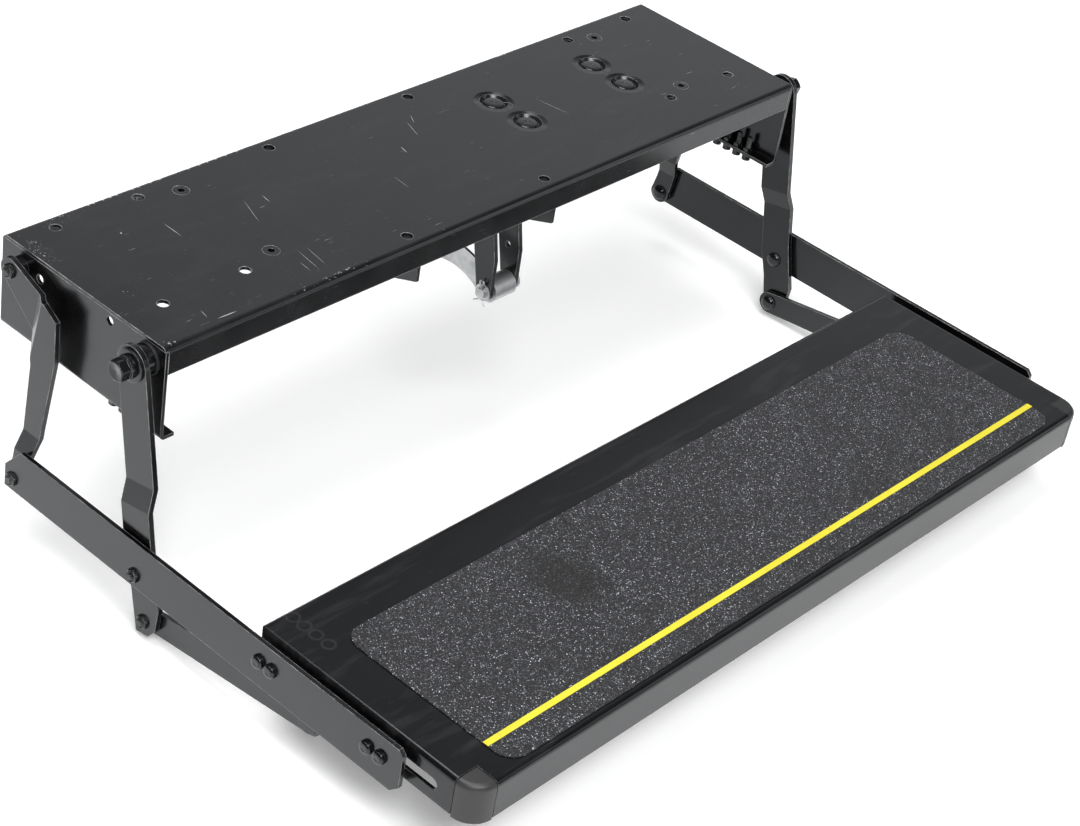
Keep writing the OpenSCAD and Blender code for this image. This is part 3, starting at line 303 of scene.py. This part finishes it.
def plastic(name, dark, light, rough=(0.35, 0.5), grain_size=1500):
    """Moulded plastic with a fine spark eroded grain and pale rub marks on its edges."""
    look = Look(name)
    grain = look.noise(grain_size, 2, 0.5)
    cloud = look.noise(22, 4, 0.6)
    edge, rounded = look.edges(0.0008)
    colour = look.mix(look.spread(cloud, 0.3, 0.7), dark, light)
    marks = look.math("MULTIPLY", look.scratches(1.1, 0.1, seed=5.0), 0.3)
    rubbed = look.math("MULTIPLY", look.spread(edge, 0.05, 0.3), 0.12)
    colour = look.mix(look.math("MAXIMUM", marks, rubbed), colour, (0.2, 0.2, 0.2))
    roughness = look.spread(cloud, 0.3, 0.7, *rough)
    return look.finish(colour, roughness, look.bump(grain, 0.00002, 0.6, rounded))


# Tones of the grains, whose pale top stops are painted glints of light off the grains' facets
GRIT_TONES_AND_GLINTS = [(0.0, (0.003, 0.003, 0.0034)), (0.5, (0.005, 0.005, 0.0055)), (0.74, (0.013, 0.013, 0.015)),
              (0.88, (0.038, 0.038, 0.044)), (0.97, (0.21, 0.22, 0.25)), (1.0, (0.85, 0.87, 0.95))]
# A painted bluish glint on some grains, and the duller grit of the worn patch and of random clouds
GRIT_BLUE_GLINT, GRIT_DULL = (0.045, 0.045, 0.06), (0.005, 0.005, 0.005)
GRAIN_HEIGHT = 0.9
# The worn patch on the grip pad: centre and half sizes in millimetres
WORN_AT, WORN_SIZE = (-171, -341, -161), (36, 46, 60)


def grit(name):
    """Coarse black grit bonded to a sheet: dark grains with painted pale and bluish glints, and a worn patch."""
    look = Look(name)
    grains, fine = look.cells(1450), look.cells(2900)
    # Three random numbers for each grain
    of_grain, of_fine = (look.add("ShaderNodeSeparateColor", Color=cells.outputs["Color"]).outputs
                         for cells in (grains, fine))
    # A tone for each grain, with painted pale and bluish glints
    grain_tone_and_glints = look.ramp(of_grain[0], GRIT_TONES_AND_GLINTS)
    grain_tone_and_glints = look.mix(look.spread(of_fine[1], 0.6, 1.0, 0.0, 0.25), grain_tone_and_glints, GRIT_BLUE_GLINT)
    swirl = look.noise(75, 4, 0.6, 2.2)
    worn = look.math("MULTIPLY", look.blob(WORN_AT, WORN_SIZE, 0.5), look.spread(swirl, 0.28, 0.5))
    cloud = look.spread(look.noise(16, 3), 0.35, 0.7, 0.0, 0.3)
    dull = look.math("MAXIMUM", look.math("MULTIPLY", worn, 0.9), cloud)
    grain_tone_and_glints = look.mix(dull, grain_tone_and_glints, GRIT_DULL)
    roughness = look.spread(of_grain[1], 0.0, 1.0, 0.42, 0.85)
    height = look.math("ADD", look.math("MULTIPLY", grains.outputs["Distance"], GRAIN_HEIGHT),
                       look.math("MULTIPLY", of_grain[2], 0.5))
    return look.finish(grain_tone_and_glints, roughness, look.bump(height, 0.0005, 0.8))


def tape(name):
    """Satin yellow tape over the grit, which prints through it, with grime in the hollows."""
    look = Look(name)
    print_through = look.cells(980).outputs["Distance"]
    grime = look.spread(look.noise(130, 5, 0.7), 0.58, 0.75, 0.0, 0.4)
    shade = look.mix(look.spread(look.noise(20, 3), 0.3, 0.7), (0.60, 0.525, 0.022), (0.68, 0.60, 0.032))
    colour = look.mix(grime, shade, (0.34, 0.29, 0.02))
    roughness = look.spread(look.noise(300, 2), 0.3, 0.7, 0.4, 0.6)
    return look.finish(colour, roughness, look.bump(print_through, 0.0001, 0.4))


def weld(name):
    """Painted over weld metal: rippled, a little glossier in the hollows."""
    look = Look(name)
    ripple = look.noise(420, 3, 0.6)
    colour = look.mix(look.spread(ripple, 0.35, 0.7), (0.004, 0.004, 0.0045), (0.012, 0.012, 0.013))
    roughness = look.spread(look.noise(200, 2), 0.3, 0.7, 0.25, 0.5)
    return look.finish(colour, roughness, look.bump(ripple, 0.00012, 0.6))


# Marks that follow the photograph, in millimetres and degrees

# Handling scuffs on the top plate: centre, half sizes and strength
TOP_SPOTS = [((-372, 60, 0), (26, 60, 8), 0.9), ((-330, 90, 0), (80, 14, 8), 0.8),
             ((-355, -20, 0), (20, 46, 8), 0.7), ((-200, -92, 0), (110, 9, 8), 0.9),
             ((-300, 20, 0), (90, 50, 8), 0.35), ((60, 10, 0), (200, 60, 8), 0.22),
             ((330, 60, 0), (60, 40, 8), 0.3), ((-372, -90, 0), (14, 12, 8), 1.0),
             ((-255, 93, -1), (130, 6, 8), 0.9)]
# Pressed shoulders round the cups: centre, radius and depth
CUP_DIPS = [((x, y, 0), 18.5, 8.0) for x, y in CUPS]
# Single scratches on the top plate: centre, angle, length and width
TOP_CUTS = [((-267.9, 28), 88, 25, 0.6), ((-196.5, 15), 70, 36, 0.35), ((-173.5, 23), 81, 12, 0.6),
            ((-207.8, -65), 82, 32, 0.35), ((-198.6, -64), 81, 32, 0.3), ((-312, -87), -2, 20, 1.1),
            ((-325.7, -76), 80, 11, 0.5), ((-216.5, -71), 83, 16, 0.35), ((-304.7, 46.7), 80, 3, 1.3),
            ((12, 40), 70, 26, 0.4), ((24, 52), 60, 14, 0.5), ((-20, 18), 75, 12, 0.7),
            ((150, 0), 100, 40, 0.35), ((120, 30), 95, 30, 0.3), ((-60, -20), 85, 22, 0.3)]
# Chips along the rear edge of the top plate
CHIP_Y = 93.4
CHIPS_X = (-299.7, -294.4, -284.8, -277.4, -271.2, -254.6, -248.4, -236, -226.6,
           -195.5, -184.3, -175.4, -166.2, -155.4, -143.3, 176, 180.5, 185)
TOP_CUTS += [((x, CHIP_Y), 90, 3.0, 2.3) for x in CHIPS_X]
# Faint round marks of spot welds near the left edge of the tread: centre and radius
TREAD_RINGS = [((-370.5, y, TREAD_Z), 7) for y in (-245.5, -258, -271, -284.6)]

LOOKS = {
    "black_steel": paint("black_powder_coat", (0.0026, 0.0026, 0.0029), (0.0048, 0.0048, 0.0052),
                         peel=0.00003, edge_wear_and_highlight=0.8, worn=(0.5, 0.5, 0.51)),
    "tread_paint": paint("tread_powder_coat", (0.0026, 0.0026, 0.0029), (0.0042, 0.0042, 0.0045), (0.17, 0.26),
                         scuffs=0.16, edge_wear_and_highlight=0.4, rings=TREAD_RINGS, ior=1.42, smears=0.3),
    "black_fasteners": paint("black_fastener_coat", (0.003, 0.003, 0.0033), (0.006, 0.006, 0.0065), (0.09, 0.17),
                             0.000006, 0.3, 0.8, (0.4, 0.4, 0.41), edge_r=0.0004),
    "zinc": plated("zinc_plate", (0.42, 0.43, 0.44), (0.58, 0.59, 0.60), (0.36, 0.52), 0.4),
    "shaft_steel": plated("oiled_steel", (0.24, 0.235, 0.23), (0.38, 0.375, 0.37), (0.2, 0.36), 0.55),
    "bush_bronze": plated("sintered_bronze", (0.42, 0.29, 0.13), (0.56, 0.40, 0.2), (0.3, 0.5), 0.3,
                          turning=(900, 900, 900)),
    "gearbox_alloy": cast("die_cast_alloy", (0.30, 0.30, 0.31), (0.45, 0.45, 0.46)),
    "motor_paint": paint("motor_enamel", (0.010, 0.010, 0.011), (0.017, 0.017, 0.018), (0.14, 0.22),
                         0.00001, 0.2, 0.3),
    "black_plastic": plastic("moulded_black", (0.013, 0.013, 0.014), (0.022, 0.022, 0.022)),
    "grit": grit("grit_sheet"),
    "yellow_tape": tape("yellow_edge_tape"),
}
TOP_LOOK = paint("top_plate_powder_coat", (0.0045, 0.0045, 0.005), (0.0085, 0.0085, 0.009), (0.2, 0.32), 0.00003,
                 scuffs=0.6, edge_wear_and_highlight=1.0, worn=(0.6, 0.6, 0.61), spots=TOP_SPOTS, dips=CUP_DIPS, cuts=TOP_CUTS)
WELD = weld("painted_weld")
NYLON = plastic("nylon_ring", (0.05, 0.05, 0.055), (0.08, 0.08, 0.085), (0.3, 0.4), 2200)

# Steel spacers between the legs and the side plates, given the black fastener coat as painted shade for the dark gap
# there
SPACERS_BLACK_AS_SHADE = ("hub_spacers", "rear_pivot_spacers")
SLOT_OF = {row["node"]: row["material_slot"] for row in frame["record"]["subparts"]}
for node_name, node_object in frame["nodes"].items():
    look = LOOKS["black_fasteners" if node_name in SPACERS_BLACK_AS_SHADE else SLOT_OF[node_name]]
    if node_name == "top_plate":
        look = TOP_LOOK
    for material_slot in node_object.material_slots:
        material_slot.material = look


# Mesh helpers. Sizes are in millimetres

# An axis to build along, and the two directions across it
AXES = {"x": ((1, 0, 0), (0, 1, 0), (0, 0, 1)), "-x": ((-1, 0, 0), (0, 1, 0), (0, 0, 1)),
        "z": ((0, 0, 1), (1, 0, 0), (0, 1, 0))}
BOTH_SIDES = ("x", "-x")
LEAST_R = 0.0005
SHARP_ANGLE = math.radians(32)
NO_LIMIT = 1e9


class Piece:
    """Collects faces in millimetres, then becomes one object that rides on a body."""

    def __init__(self, name, body, slot, look=None):
        self.name, self.body, self.slot = name, body, slot
        self.looks = [look or LOOKS[slot]]
        self.bm = bmesh.new()

    def join(self, sections, material=0, closed=True):
        """Joins closed sections of points, and closes both ends."""
        rows = [[self.bm.verts.new(Vector(p) * MM) for p in section] for section in sections]
        count = len(rows[0])
        for a, b in zip(rows, rows[1:]):
            for i in range(count):
                j = (i + 1) % count
                self.bm.faces.new((a[i], a[j], b[j], b[i])).material_index = material
        if closed:
            for row in (rows[0], rows[-1]):
                self.bm.faces.new(row).material_index = material

    def rings(self, origin, axis, rings, count=48, material=0, closed=True):
        """Joins rings of (distance along the axis, radius), where a radius may be a function of the angle."""
        u, v, w = (Vector(a) for a in AXES[axis])
        sections = []
        for distance, radius in rings:
            section = []
            for i in range(count):
                angle = 2 * math.pi * i / count
                r = max(radius(angle) if callable(radius) else radius, LEAST_R)
                section.append(Vector(origin) + u * distance + (v * math.cos(angle) + w * math.sin(angle)) * r)
            sections.append(section)
        self.join(sections, material, closed)

    def done(self, *replaces):
        bmesh.ops.remove_doubles(self.bm, verts=self.bm.verts, dist=1e-7)
        bmesh.ops.recalc_face_normals(self.bm, faces=self.bm.faces)
        mesh = bpy.data.meshes.new(self.name)
        self.bm.to_mesh(mesh)
        self.bm.free()
        for look in self.looks:
            mesh.materials.append(look)
        mesh.shade_smooth()
        mesh.set_sharp_from_angle(angle=SHARP_ANGLE)
        obj = bpy.data.objects.new(self.name, mesh)
        bpy.context.scene.collection.objects.link(obj)
        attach(obj, self.body)
        if replaces:
            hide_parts(*replaces)


def hexagon(af, limit=NO_LIMIT, turn=0.0):
    """Radius of a hexagon at an angle, held inside a circle. af is its size across flats."""
    def radius(angle):
        a = (angle + turn) % (math.pi / 3) - math.pi / 6
        return min(af / 2 / math.cos(a), limit)
    return radius


def hex_rings(x0, x1, af, turn=0.0, near=False, far=True):
    """A hexagon between x0 and x1 whose far and near corners are chamfered at 30 degrees."""
    corner = af / math.sqrt(3)
    face = af / 2 * 0.96
    depth = (corner - face) * math.tan(math.radians(30))
    steps = 5
    cut = [(depth * i / steps, face + (corner - face) * i / steps) for i in range(steps + 1)]
    plain = hexagon(af, NO_LIMIT, turn)
    rings = [(x0 + d, hexagon(af, r, turn)) for d, r in cut] if near else [(x0, plain)]
    rings += [(x1 - d, hexagon(af, r, turn)) for d, r in reversed(cut)] if far else [(x1, plain)]
    return rings


def thread_rings(x0, x1, r, pitch):
    """A helical thread: the radius rises and falls with the angle and the distance."""
    depth = pitch * 0.5
    steps = max(2, int(round((x1 - x0) / pitch * 6)))

    def ring(x):
        def radius(angle):
            phase = (x / pitch - angle / (2 * math.pi)) % 1.0
            return r - depth * min(1.0, max(0.0, abs(phase - 0.5) * 2.6 - 0.15))
        return radius

    places = [x0 + (x1 - x0) * i / steps for i in range(steps + 1)]
    return [(x, ring(x)) for x in places]


def dome_rings(seat, crown, r):
    """A low head from its seat to its crown, with a short rim and a small flat on top."""
    rim, rounding, flat, steps = 0.8, 0.2, 0.25, 9
    sign = 1 if crown > seat else -1
    height = abs(crown - seat)
    rings = [(seat, r), (seat + sign * rim * 0.8, r), (seat + sign * rim, r - rounding)]
    for i in range(1, steps + 1):
        a = math.pi / 2 * i / steps
        rings.append((seat + sign * (rim + (height - rim) * math.sin(a)),
                      max((r - rounding) * math.cos(a), r * flat)))
    return rings


# Shoulder bolts: the shoulder's radius, the threaded end's radius and what it stands past the nut
PIVOT_R, END_R, TAIL = 5.0, 3.0, 1.0
NUT_AF, NUT_H = 11.0, 3.5
HEAD_H, HEAD_R = 5, 7.5


def shank_rings(start, seat):
    """Shoulder up to the nut's seat, then the thinner threaded end that shows beyond the nut."""
    end = seat + NUT_H + TAIL
    return ([(start, PIVOT_R), (seat - 0.3, PIVOT_R), (seat, PIVOT_R - 0.3), (seat, END_R)]
            + thread_rings(seat + 0.3, end - 0.4, END_R, 1.0) + [(end, END_R - 0.6)])


def lock_nut(piece, at, seat, axis, turn):
    """Chamfered hexagon with a rolled collar that holds a nylon ring."""
    origin, bore, flank, top = (0, *at), END_R - 0.2, NUT_AF / 2, seat + NUT_H
    shoulder = seat + NUT_H * 0.72
    piece.rings(origin, axis, hex_rings(seat, shoulder, NUT_AF, turn) + [
        (shoulder, flank * 0.90), (shoulder + 0.4, flank * 0.86), (top - 0.5, flank * 0.84), (top, flank * 0.78),
        (top, bore + 1.5), (top - 0.8, bore + 1.2), (top - 0.9, bore)], 60)
    piece.rings(origin, axis, [(top - 0.85, bore + 1.2), (top - 0.45, bore + 0.9), (top - 0.85, bore - 0.1)],
                40, material=1, closed=False)


# Hubs of the front legs

HUB_SEAT, HUB_HEAD, HUB_HEAD_H = 398.5, 403.5, 8
hub = Piece("hub_bolt_set", "drive", "black_fasteners")
for axis in BOTH_SIDES:
    top = HUB_HEAD + HUB_HEAD_H
    collar = [(HUB_SEAT, 3.9), (HUB_SEAT, 9.6), (HUB_SEAT + 0.5, 10.0), (HUB_HEAD - 0.9, 10.0),
              (HUB_HEAD - 0.4, 9.5), (HUB_HEAD - 0.4, 8.4)]
    dish = [(top, 7.0), (top - 0.3, 6.4), (top - 0.3, 2.2), (top - 0.8, 1.2)]
    hub.rings((0, *SHAFT), axis, collar + hex_rings(HUB_HEAD - 0.3, top, 16, 0.3) + dish, 60)
    hub.rings((0, *SHAFT), axis, [(HUB_SEAT - 26, 3.4)] + thread_rings(HUB_SEAT - 25, HUB_SEAT - 4, 4, 1.25)
              + [(HUB_SEAT + 0.2, 3.9)], 24)
hub.done("hub_bolts")

washer = Piece("hub_washer_set", "drive", "black_fasteners")
for axis in BOTH_SIDES:
    washer.rings((0, *SHAFT), axis, [(396.0, 4.1), (396.0, 13.6), (396.3, 14.0), (397.9, 14.0), (398.35, 13.5),
                                     (HUB_SEAT, 12.8), (HUB_SEAT, 4.1), (396.0, 4.1)], 60, closed=False)
washer.done("hub_washers")

# Pivots: domed heads inside, threaded tails and lock nuts outside

# Name, body, place, seat of the head and seat of the nut
PIVOTS = [("arm_pivot", "drive", ARM, FOOT_IN, ARM_OUT + FACE_GAP),
          ("link_pivot", "drive", LINK, FOOT_IN - LINK_STACK - FACE_GAP, FOOT_OUT),
          ("arm_rear", "arms", ARM_REAR, FOOT_OUT - REAR_LEG_T - FACE_GAP, ARM_OUT)]
for name, body, at, head_seat, nut_seat in PIVOTS:
    bolts = Piece(name + "_bolt_set", body, "black_fasteners")
    nuts = Piece(name + "_lock_nut_set", body, "black_fasteners")
    nuts.looks.append(NYLON)
    for axis, turn in zip(BOTH_SIDES, (0.15, 0.4)):
        head = dome_rings(head_seat, head_seat - HEAD_H, HEAD_R)[::-1]
        bolts.rings((0, *at), axis, head + shank_rings(head_seat, nut_seat), 40)
        lock_nut(nuts, at, nut_seat, axis, turn)
    bolts.done(name + "_bolts")
    nuts.done(name + "_nuts")

PLATE_IN = HALF_W - SHEET
REAR_NUT = REAR_TOP_IN + REAR_LEG_T + FACE_GAP
rear_bolts = Piece("rear_pivot_bolt_set", "frame", "black_fasteners")
rear_nuts = Piece("rear_pivot_lock_nut_set", "frame", "black_fasteners")
rear_nuts.looks.append(NYLON)
for axis in BOTH_SIDES:
    rear_bolts.rings((0, *REAR), axis, hex_rings(PLATE_IN - HEAD_H, PLATE_IN, 15, 0.1, near=True, far=False)
                     + shank_rings(PLATE_IN, REAR_NUT), 40)
    lock_nut(rear_nuts, REAR, REAR_NUT, axis, 0.33)
rear_bolts.done("rear_pivot_bolts")
rear_nuts.done("rear_pivot_nuts")

# Slide bolts and their nuts

SLIDE_R, SLIDE_NUT_H = 3.0, 4
KEEPER_IN = TREAD_HALF - SHEET - FACE_GAP - KEEPER_T
CROWN = ARM_OUT + 4
slide = Piece("slide_bolt_set", "arms", "black_fasteners")
slide_nuts = Piece("slide_nut_set", "arms", "zinc")
for axis in BOTH_SIDES:
    for i, y in enumerate(SLIDE_Y):
        at = (0, y, SLIDE_Z)
        slide.rings(at, axis, [(KEEPER_IN - 5, 2.4)] + thread_rings(KEEPER_IN - 4.6, KEEPER_IN + 1, SLIDE_R, 1.0) + [
            (KEEPER_IN + 1.5, SLIDE_R), (ARM_OUT, SLIDE_R), (ARM_OUT, 5.9), (ARM_OUT + 0.7, 6.0),
            (ARM_OUT + 2.6, 5.7), (CROWN - 0.5, 4.9), (CROWN, 4.0), (CROWN, 2.3), (CROWN - 0.4, 1.9),
            (CROWN - 0.45, 0.6)], 36)
        nut = hex_rings(KEEPER_IN - SLIDE_NUT_H, KEEPER_IN, 10, 0.2 * i, near=True, far=False)
        slide_nuts.rings(at, axis, [(KEEPER_IN - SLIDE_NUT_H, 3.1)] + nut + [(KEEPER_IN, 3.1)], closed=False)
slide.done("slide_bolts")
slide_nuts.done("slide_nuts")

# Bolts through the lips of the side plates

LIP_INSET, LIP_FRONT, LIP_PITCH, LIP_Z = 9.0, 28, 12, -84
LIP_HEAD, LIP_AF, LIP_R, FLAT_ON_PLATE = 6.0, 8.0, 2.5, math.pi / 6
lip_bolts = Piece("lip_bolt_set", "frame", "black_fasteners")
lip_nuts = Piece("lip_nut_set", "frame", "black_fasteners")
for side in (1, -1):
    for i in range(4):
        at = (side * (HALF_W - LIP_INSET), -HALF_D + LIP_FRONT + LIP_PITCH * i, LIP_Z)
        head = [(-LIP_HEAD, 1.6), (0.25 - LIP_HEAD, 2.0), (0.25 - LIP_HEAD, 2.9), (-LIP_HEAD, 3.1)]
        head += hex_rings(-LIP_HEAD, 0, LIP_AF, FLAT_ON_PLATE, near=True, far=False)
        shank = [(0, LIP_R), (3.5, LIP_R)] + thread_rings(4, 17.4, LIP_R, 0.8) + [(18, 1.9)]
        lip_bolts.rings(at, "z", head + shank, 36)
        nut = hex_rings(3, 7, LIP_AF, FLAT_ON_PLATE, near=True)
        lip_nuts.rings(at, "z", [(3, 2.6)] + nut + [(7, 3.1), (6.6, 2.6)], closed=False)
lip_bolts.done("lip_bolts")
lip_nuts.done("lip_nuts")

# Flat headed screws in the pressed cups of the top plate

CUP_Z = -2.4
cup_screws = Piece("cup_screw_set", "frame", "black_fasteners")
for x, y in CUPS:
    cup_screws.rings((x, y, CUP_Z), "z", [(-12, 2.2)] + thread_rings(-11.7, -2, 3.0, 1.0) + [
        (-1.5, 3.0), (0, 3.0), (0, 9.0), (0.25, 9.4), (0.9, 9.5), (1.35, 9.1), (1.6, 8.3), (1.6, 2.6), (1.3, 2.2),
        (1.25, 0.8), (1.5, 0.4)], 44)
cup_screws.done("motor_bracket_screws")

# Split pin through the tail of the lever pin

COTTER_X, WIRE_R, WIRE_SIDES = -20.6, 0.7, 10


def wire(points):
    """Sections of a round wire through points."""
    path = [Vector(p) for p in points]
    turns = [2 * math.pi * k / WIRE_SIDES for k in range(WIRE_SIDES)]
    across = Vector((1, 0, 0))
    rows = []
    for i, p in enumerate(path):
        ahead = (path[min(i + 1, len(path) - 1)] - path[max(i - 1, 0)]).normalized()
        first = (across - ahead * across.dot(ahead)).normalized()
        second = ahead.cross(first)
        rows.append([p + (first * math.cos(t) + second * math.sin(t)) * WIRE_R for t in turns])
    return rows


cotter = Piece("split_pin", "drive", "zinc")
for leg in (-1, 1):
    y0, z0 = LEVER_END
    eye = [(0.2 + 2.3 * math.sin(math.pi * (0.08 + 0.92 * i / 8)), 12.2 - 4 * i / 8) for i in range(8)]
    shank = [(0.75, 8.2 - i) for i in range(15)]
    bent_end = [(0.75 + 6 * math.sin(a), -6 - 4 * math.sin(a)) for a in (0.3, 0.7, 1.1, 1.5)]
    cotter.join(wire([(COTTER_X, y0 + leg * y, z0 + z) for y, z in eye + shank + bent_end]))
cotter.done()

# The wrapped sheet of the coupler goes on over the lever pin

WRAP_OUT, WRAP_IN, WRAP_HALF = 11.0, 8.6, 12.4
wrap = Piece("coupler_wrap", "coupler_link", "zinc")
angles = [math.radians(92 - 8 * i) for i in range(15)]
section = [(WRAP_OUT * math.cos(a), WRAP_OUT * math.sin(a)) for a in angles]
section += [(WRAP_IN * math.cos(a), WRAP_IN * math.sin(a)) for a in reversed(angles)]
wrap.join([[(x, LEVER_END[0] + y, LEVER_END[1] + z) for y, z in section] for x in (-WRAP_HALF, WRAP_HALF)])
wrap.done()

# Plug welds that fill the holes over the inner brackets

plugs = Piece("plug_weld_set", "frame", "black_steel", WELD)
puddle = [(-3.3, 4.9), (-2.9, 4.95), (-2.6, 4.0), (-2.2, 2.8), (-2.1, 1.6), (-2.3, 0.4)]
for x in (-116, 49):
    for y in (-83, 83):
        plugs.rings((x, y, 0), "z", puddle, 28)
plugs.done()


# Camera, fitted to the photograph

CAMERA_AT = (-1426.3, -1230.1, 1059.5)
AZIMUTH, ELEVATION, ROLL = math.radians(-53.12), math.radians(34.81), math.radians(10.36)
back = Vector((math.sin(AZIMUTH) * math.cos(ELEVATION), -math.cos(AZIMUTH) * math.cos(ELEVATION),
               math.sin(ELEVATION)))
right = (-back).cross(Vector((0, 0, 1))).normalized()
up = right.cross(-back)
across = math.cos(ROLL) * right + math.sin(ROLL) * up
upward = -math.sin(ROLL) * right + math.cos(ROLL) * up
camera_data = bpy.data.cameras.new("photo_camera")
camera_data.lens = 83.86
camera_data.sensor_width = 36
camera_data.sensor_fit = "HORIZONTAL"
camera_data.clip_end = 50
camera = bpy.data.objects.new("photo_camera", camera_data)
camera.matrix_world = (Matrix.Translation(Vector(CAMERA_AT) * MM)
                       @ Matrix((across, upward, back)).transposed().to_4x4())
bpy.context.scene.collection.objects.link(camera)
bpy.context.scene.camera = camera


# Light. Places and sizes are in metres, power in watts


def area_light(name, at, target, size, power, colour=(1, 1, 1)):
    data = bpy.data.lights.new(name, "AREA")
    data.shape = "RECTANGLE"
    data.size, data.size_y = size
    data.energy = power
    data.color = colour
    light = bpy.data.objects.new(name, data)
    light.location = at
    light.rotation_euler = (Vector(target) - Vector(at)).to_track_quat("-Z", "Y").to_euler()
    bpy.context.scene.collection.objects.link(light)


area_light("key", (-1.6, -2.4, 3.2), (0, -0.15, -0.1), (2.2, 1.8), 170)
area_light("fill", (2.8, -2.8, 1.2), (0, -0.1, -0.1), (1.8, 1.8), 14, (0.97, 0.98, 1.0))
area_light("overhead", (-0.4, 0.4, 3.4), (0, -0.1, 0), (2.2, 1.8), 110)

# A dim room with one bright wall, which the smooth paint reflects
BRIGHT_WAY = (0.74, 0.62, 0.26)
BACKDROP = ((0.0, 0.10), (0.62, 0.10), (0.86, 0.36), (0.925, 0.46), (0.955, 0.72), (1.0, 0.76))
world = bpy.data.worlds.new("studio")
bpy.context.scene.world = world
world.use_nodes = True
sky, sky_links = world.node_tree.nodes, world.node_tree.links
direction = sky.new("ShaderNodeTexCoord").outputs["Generated"]
toward = sky.new("ShaderNodeVectorMath")
toward.operation = "DOT_PRODUCT"
toward.inputs[1].default_value = BRIGHT_WAY
sky_links.new(direction, toward.inputs[0])
backdrop = sky.new("ShaderNodeValToRGB")
while len(backdrop.color_ramp.elements) < len(BACKDROP):
    backdrop.color_ramp.elements.new(0.5)
for stop, (place, level) in zip(backdrop.color_ramp.elements, BACKDROP):
    stop.position = place
    stop.color = (level * 0.97, level * 0.98, level, 1.0)
sky_links.new(toward.outputs["Value"], backdrop.inputs[0])
sky_links.new(backdrop.outputs[0], sky["Background"].inputs["Color"])
sky["Background"].inputs["Strength"].default_value = 1.0
bpy.context.scene.view_settings.view_transform = "Standard"


# Floor, a little below the lowest point of the part

FLOOR_Z, FLOOR_HALF = -0.2535, 14
floor_mesh = bpy.data.meshes.new("studio_floor")
floor_corners = [(x * FLOOR_HALF, y * FLOOR_HALF, FLOOR_Z) for x, y in ((-1, -1), (1, -1), (1, 1), (-1, 1))]
floor_mesh.from_pydata(floor_corners, [], [(0, 1, 2, 3)])
floor = bpy.data.objects.new("studio_floor", floor_mesh)
bpy.context.scene.collection.objects.link(floor)
floor_look = Look("pale_floor")
paper = floor_look.spread(floor_look.noise(3, 3), 0.3, 0.7)
floor_look.finish(floor_look.mix(paper, (0.86, 0.86, 0.86), (0.89, 0.89, 0.89)),
                  floor_look.spread(floor_look.noise(40), 0.3, 0.7, 0.75, 0.85),
                  Emission_Color=(1, 1, 1, 1), Emission_Strength=0.28)
floor_mesh.materials.append(floor_look.mat)
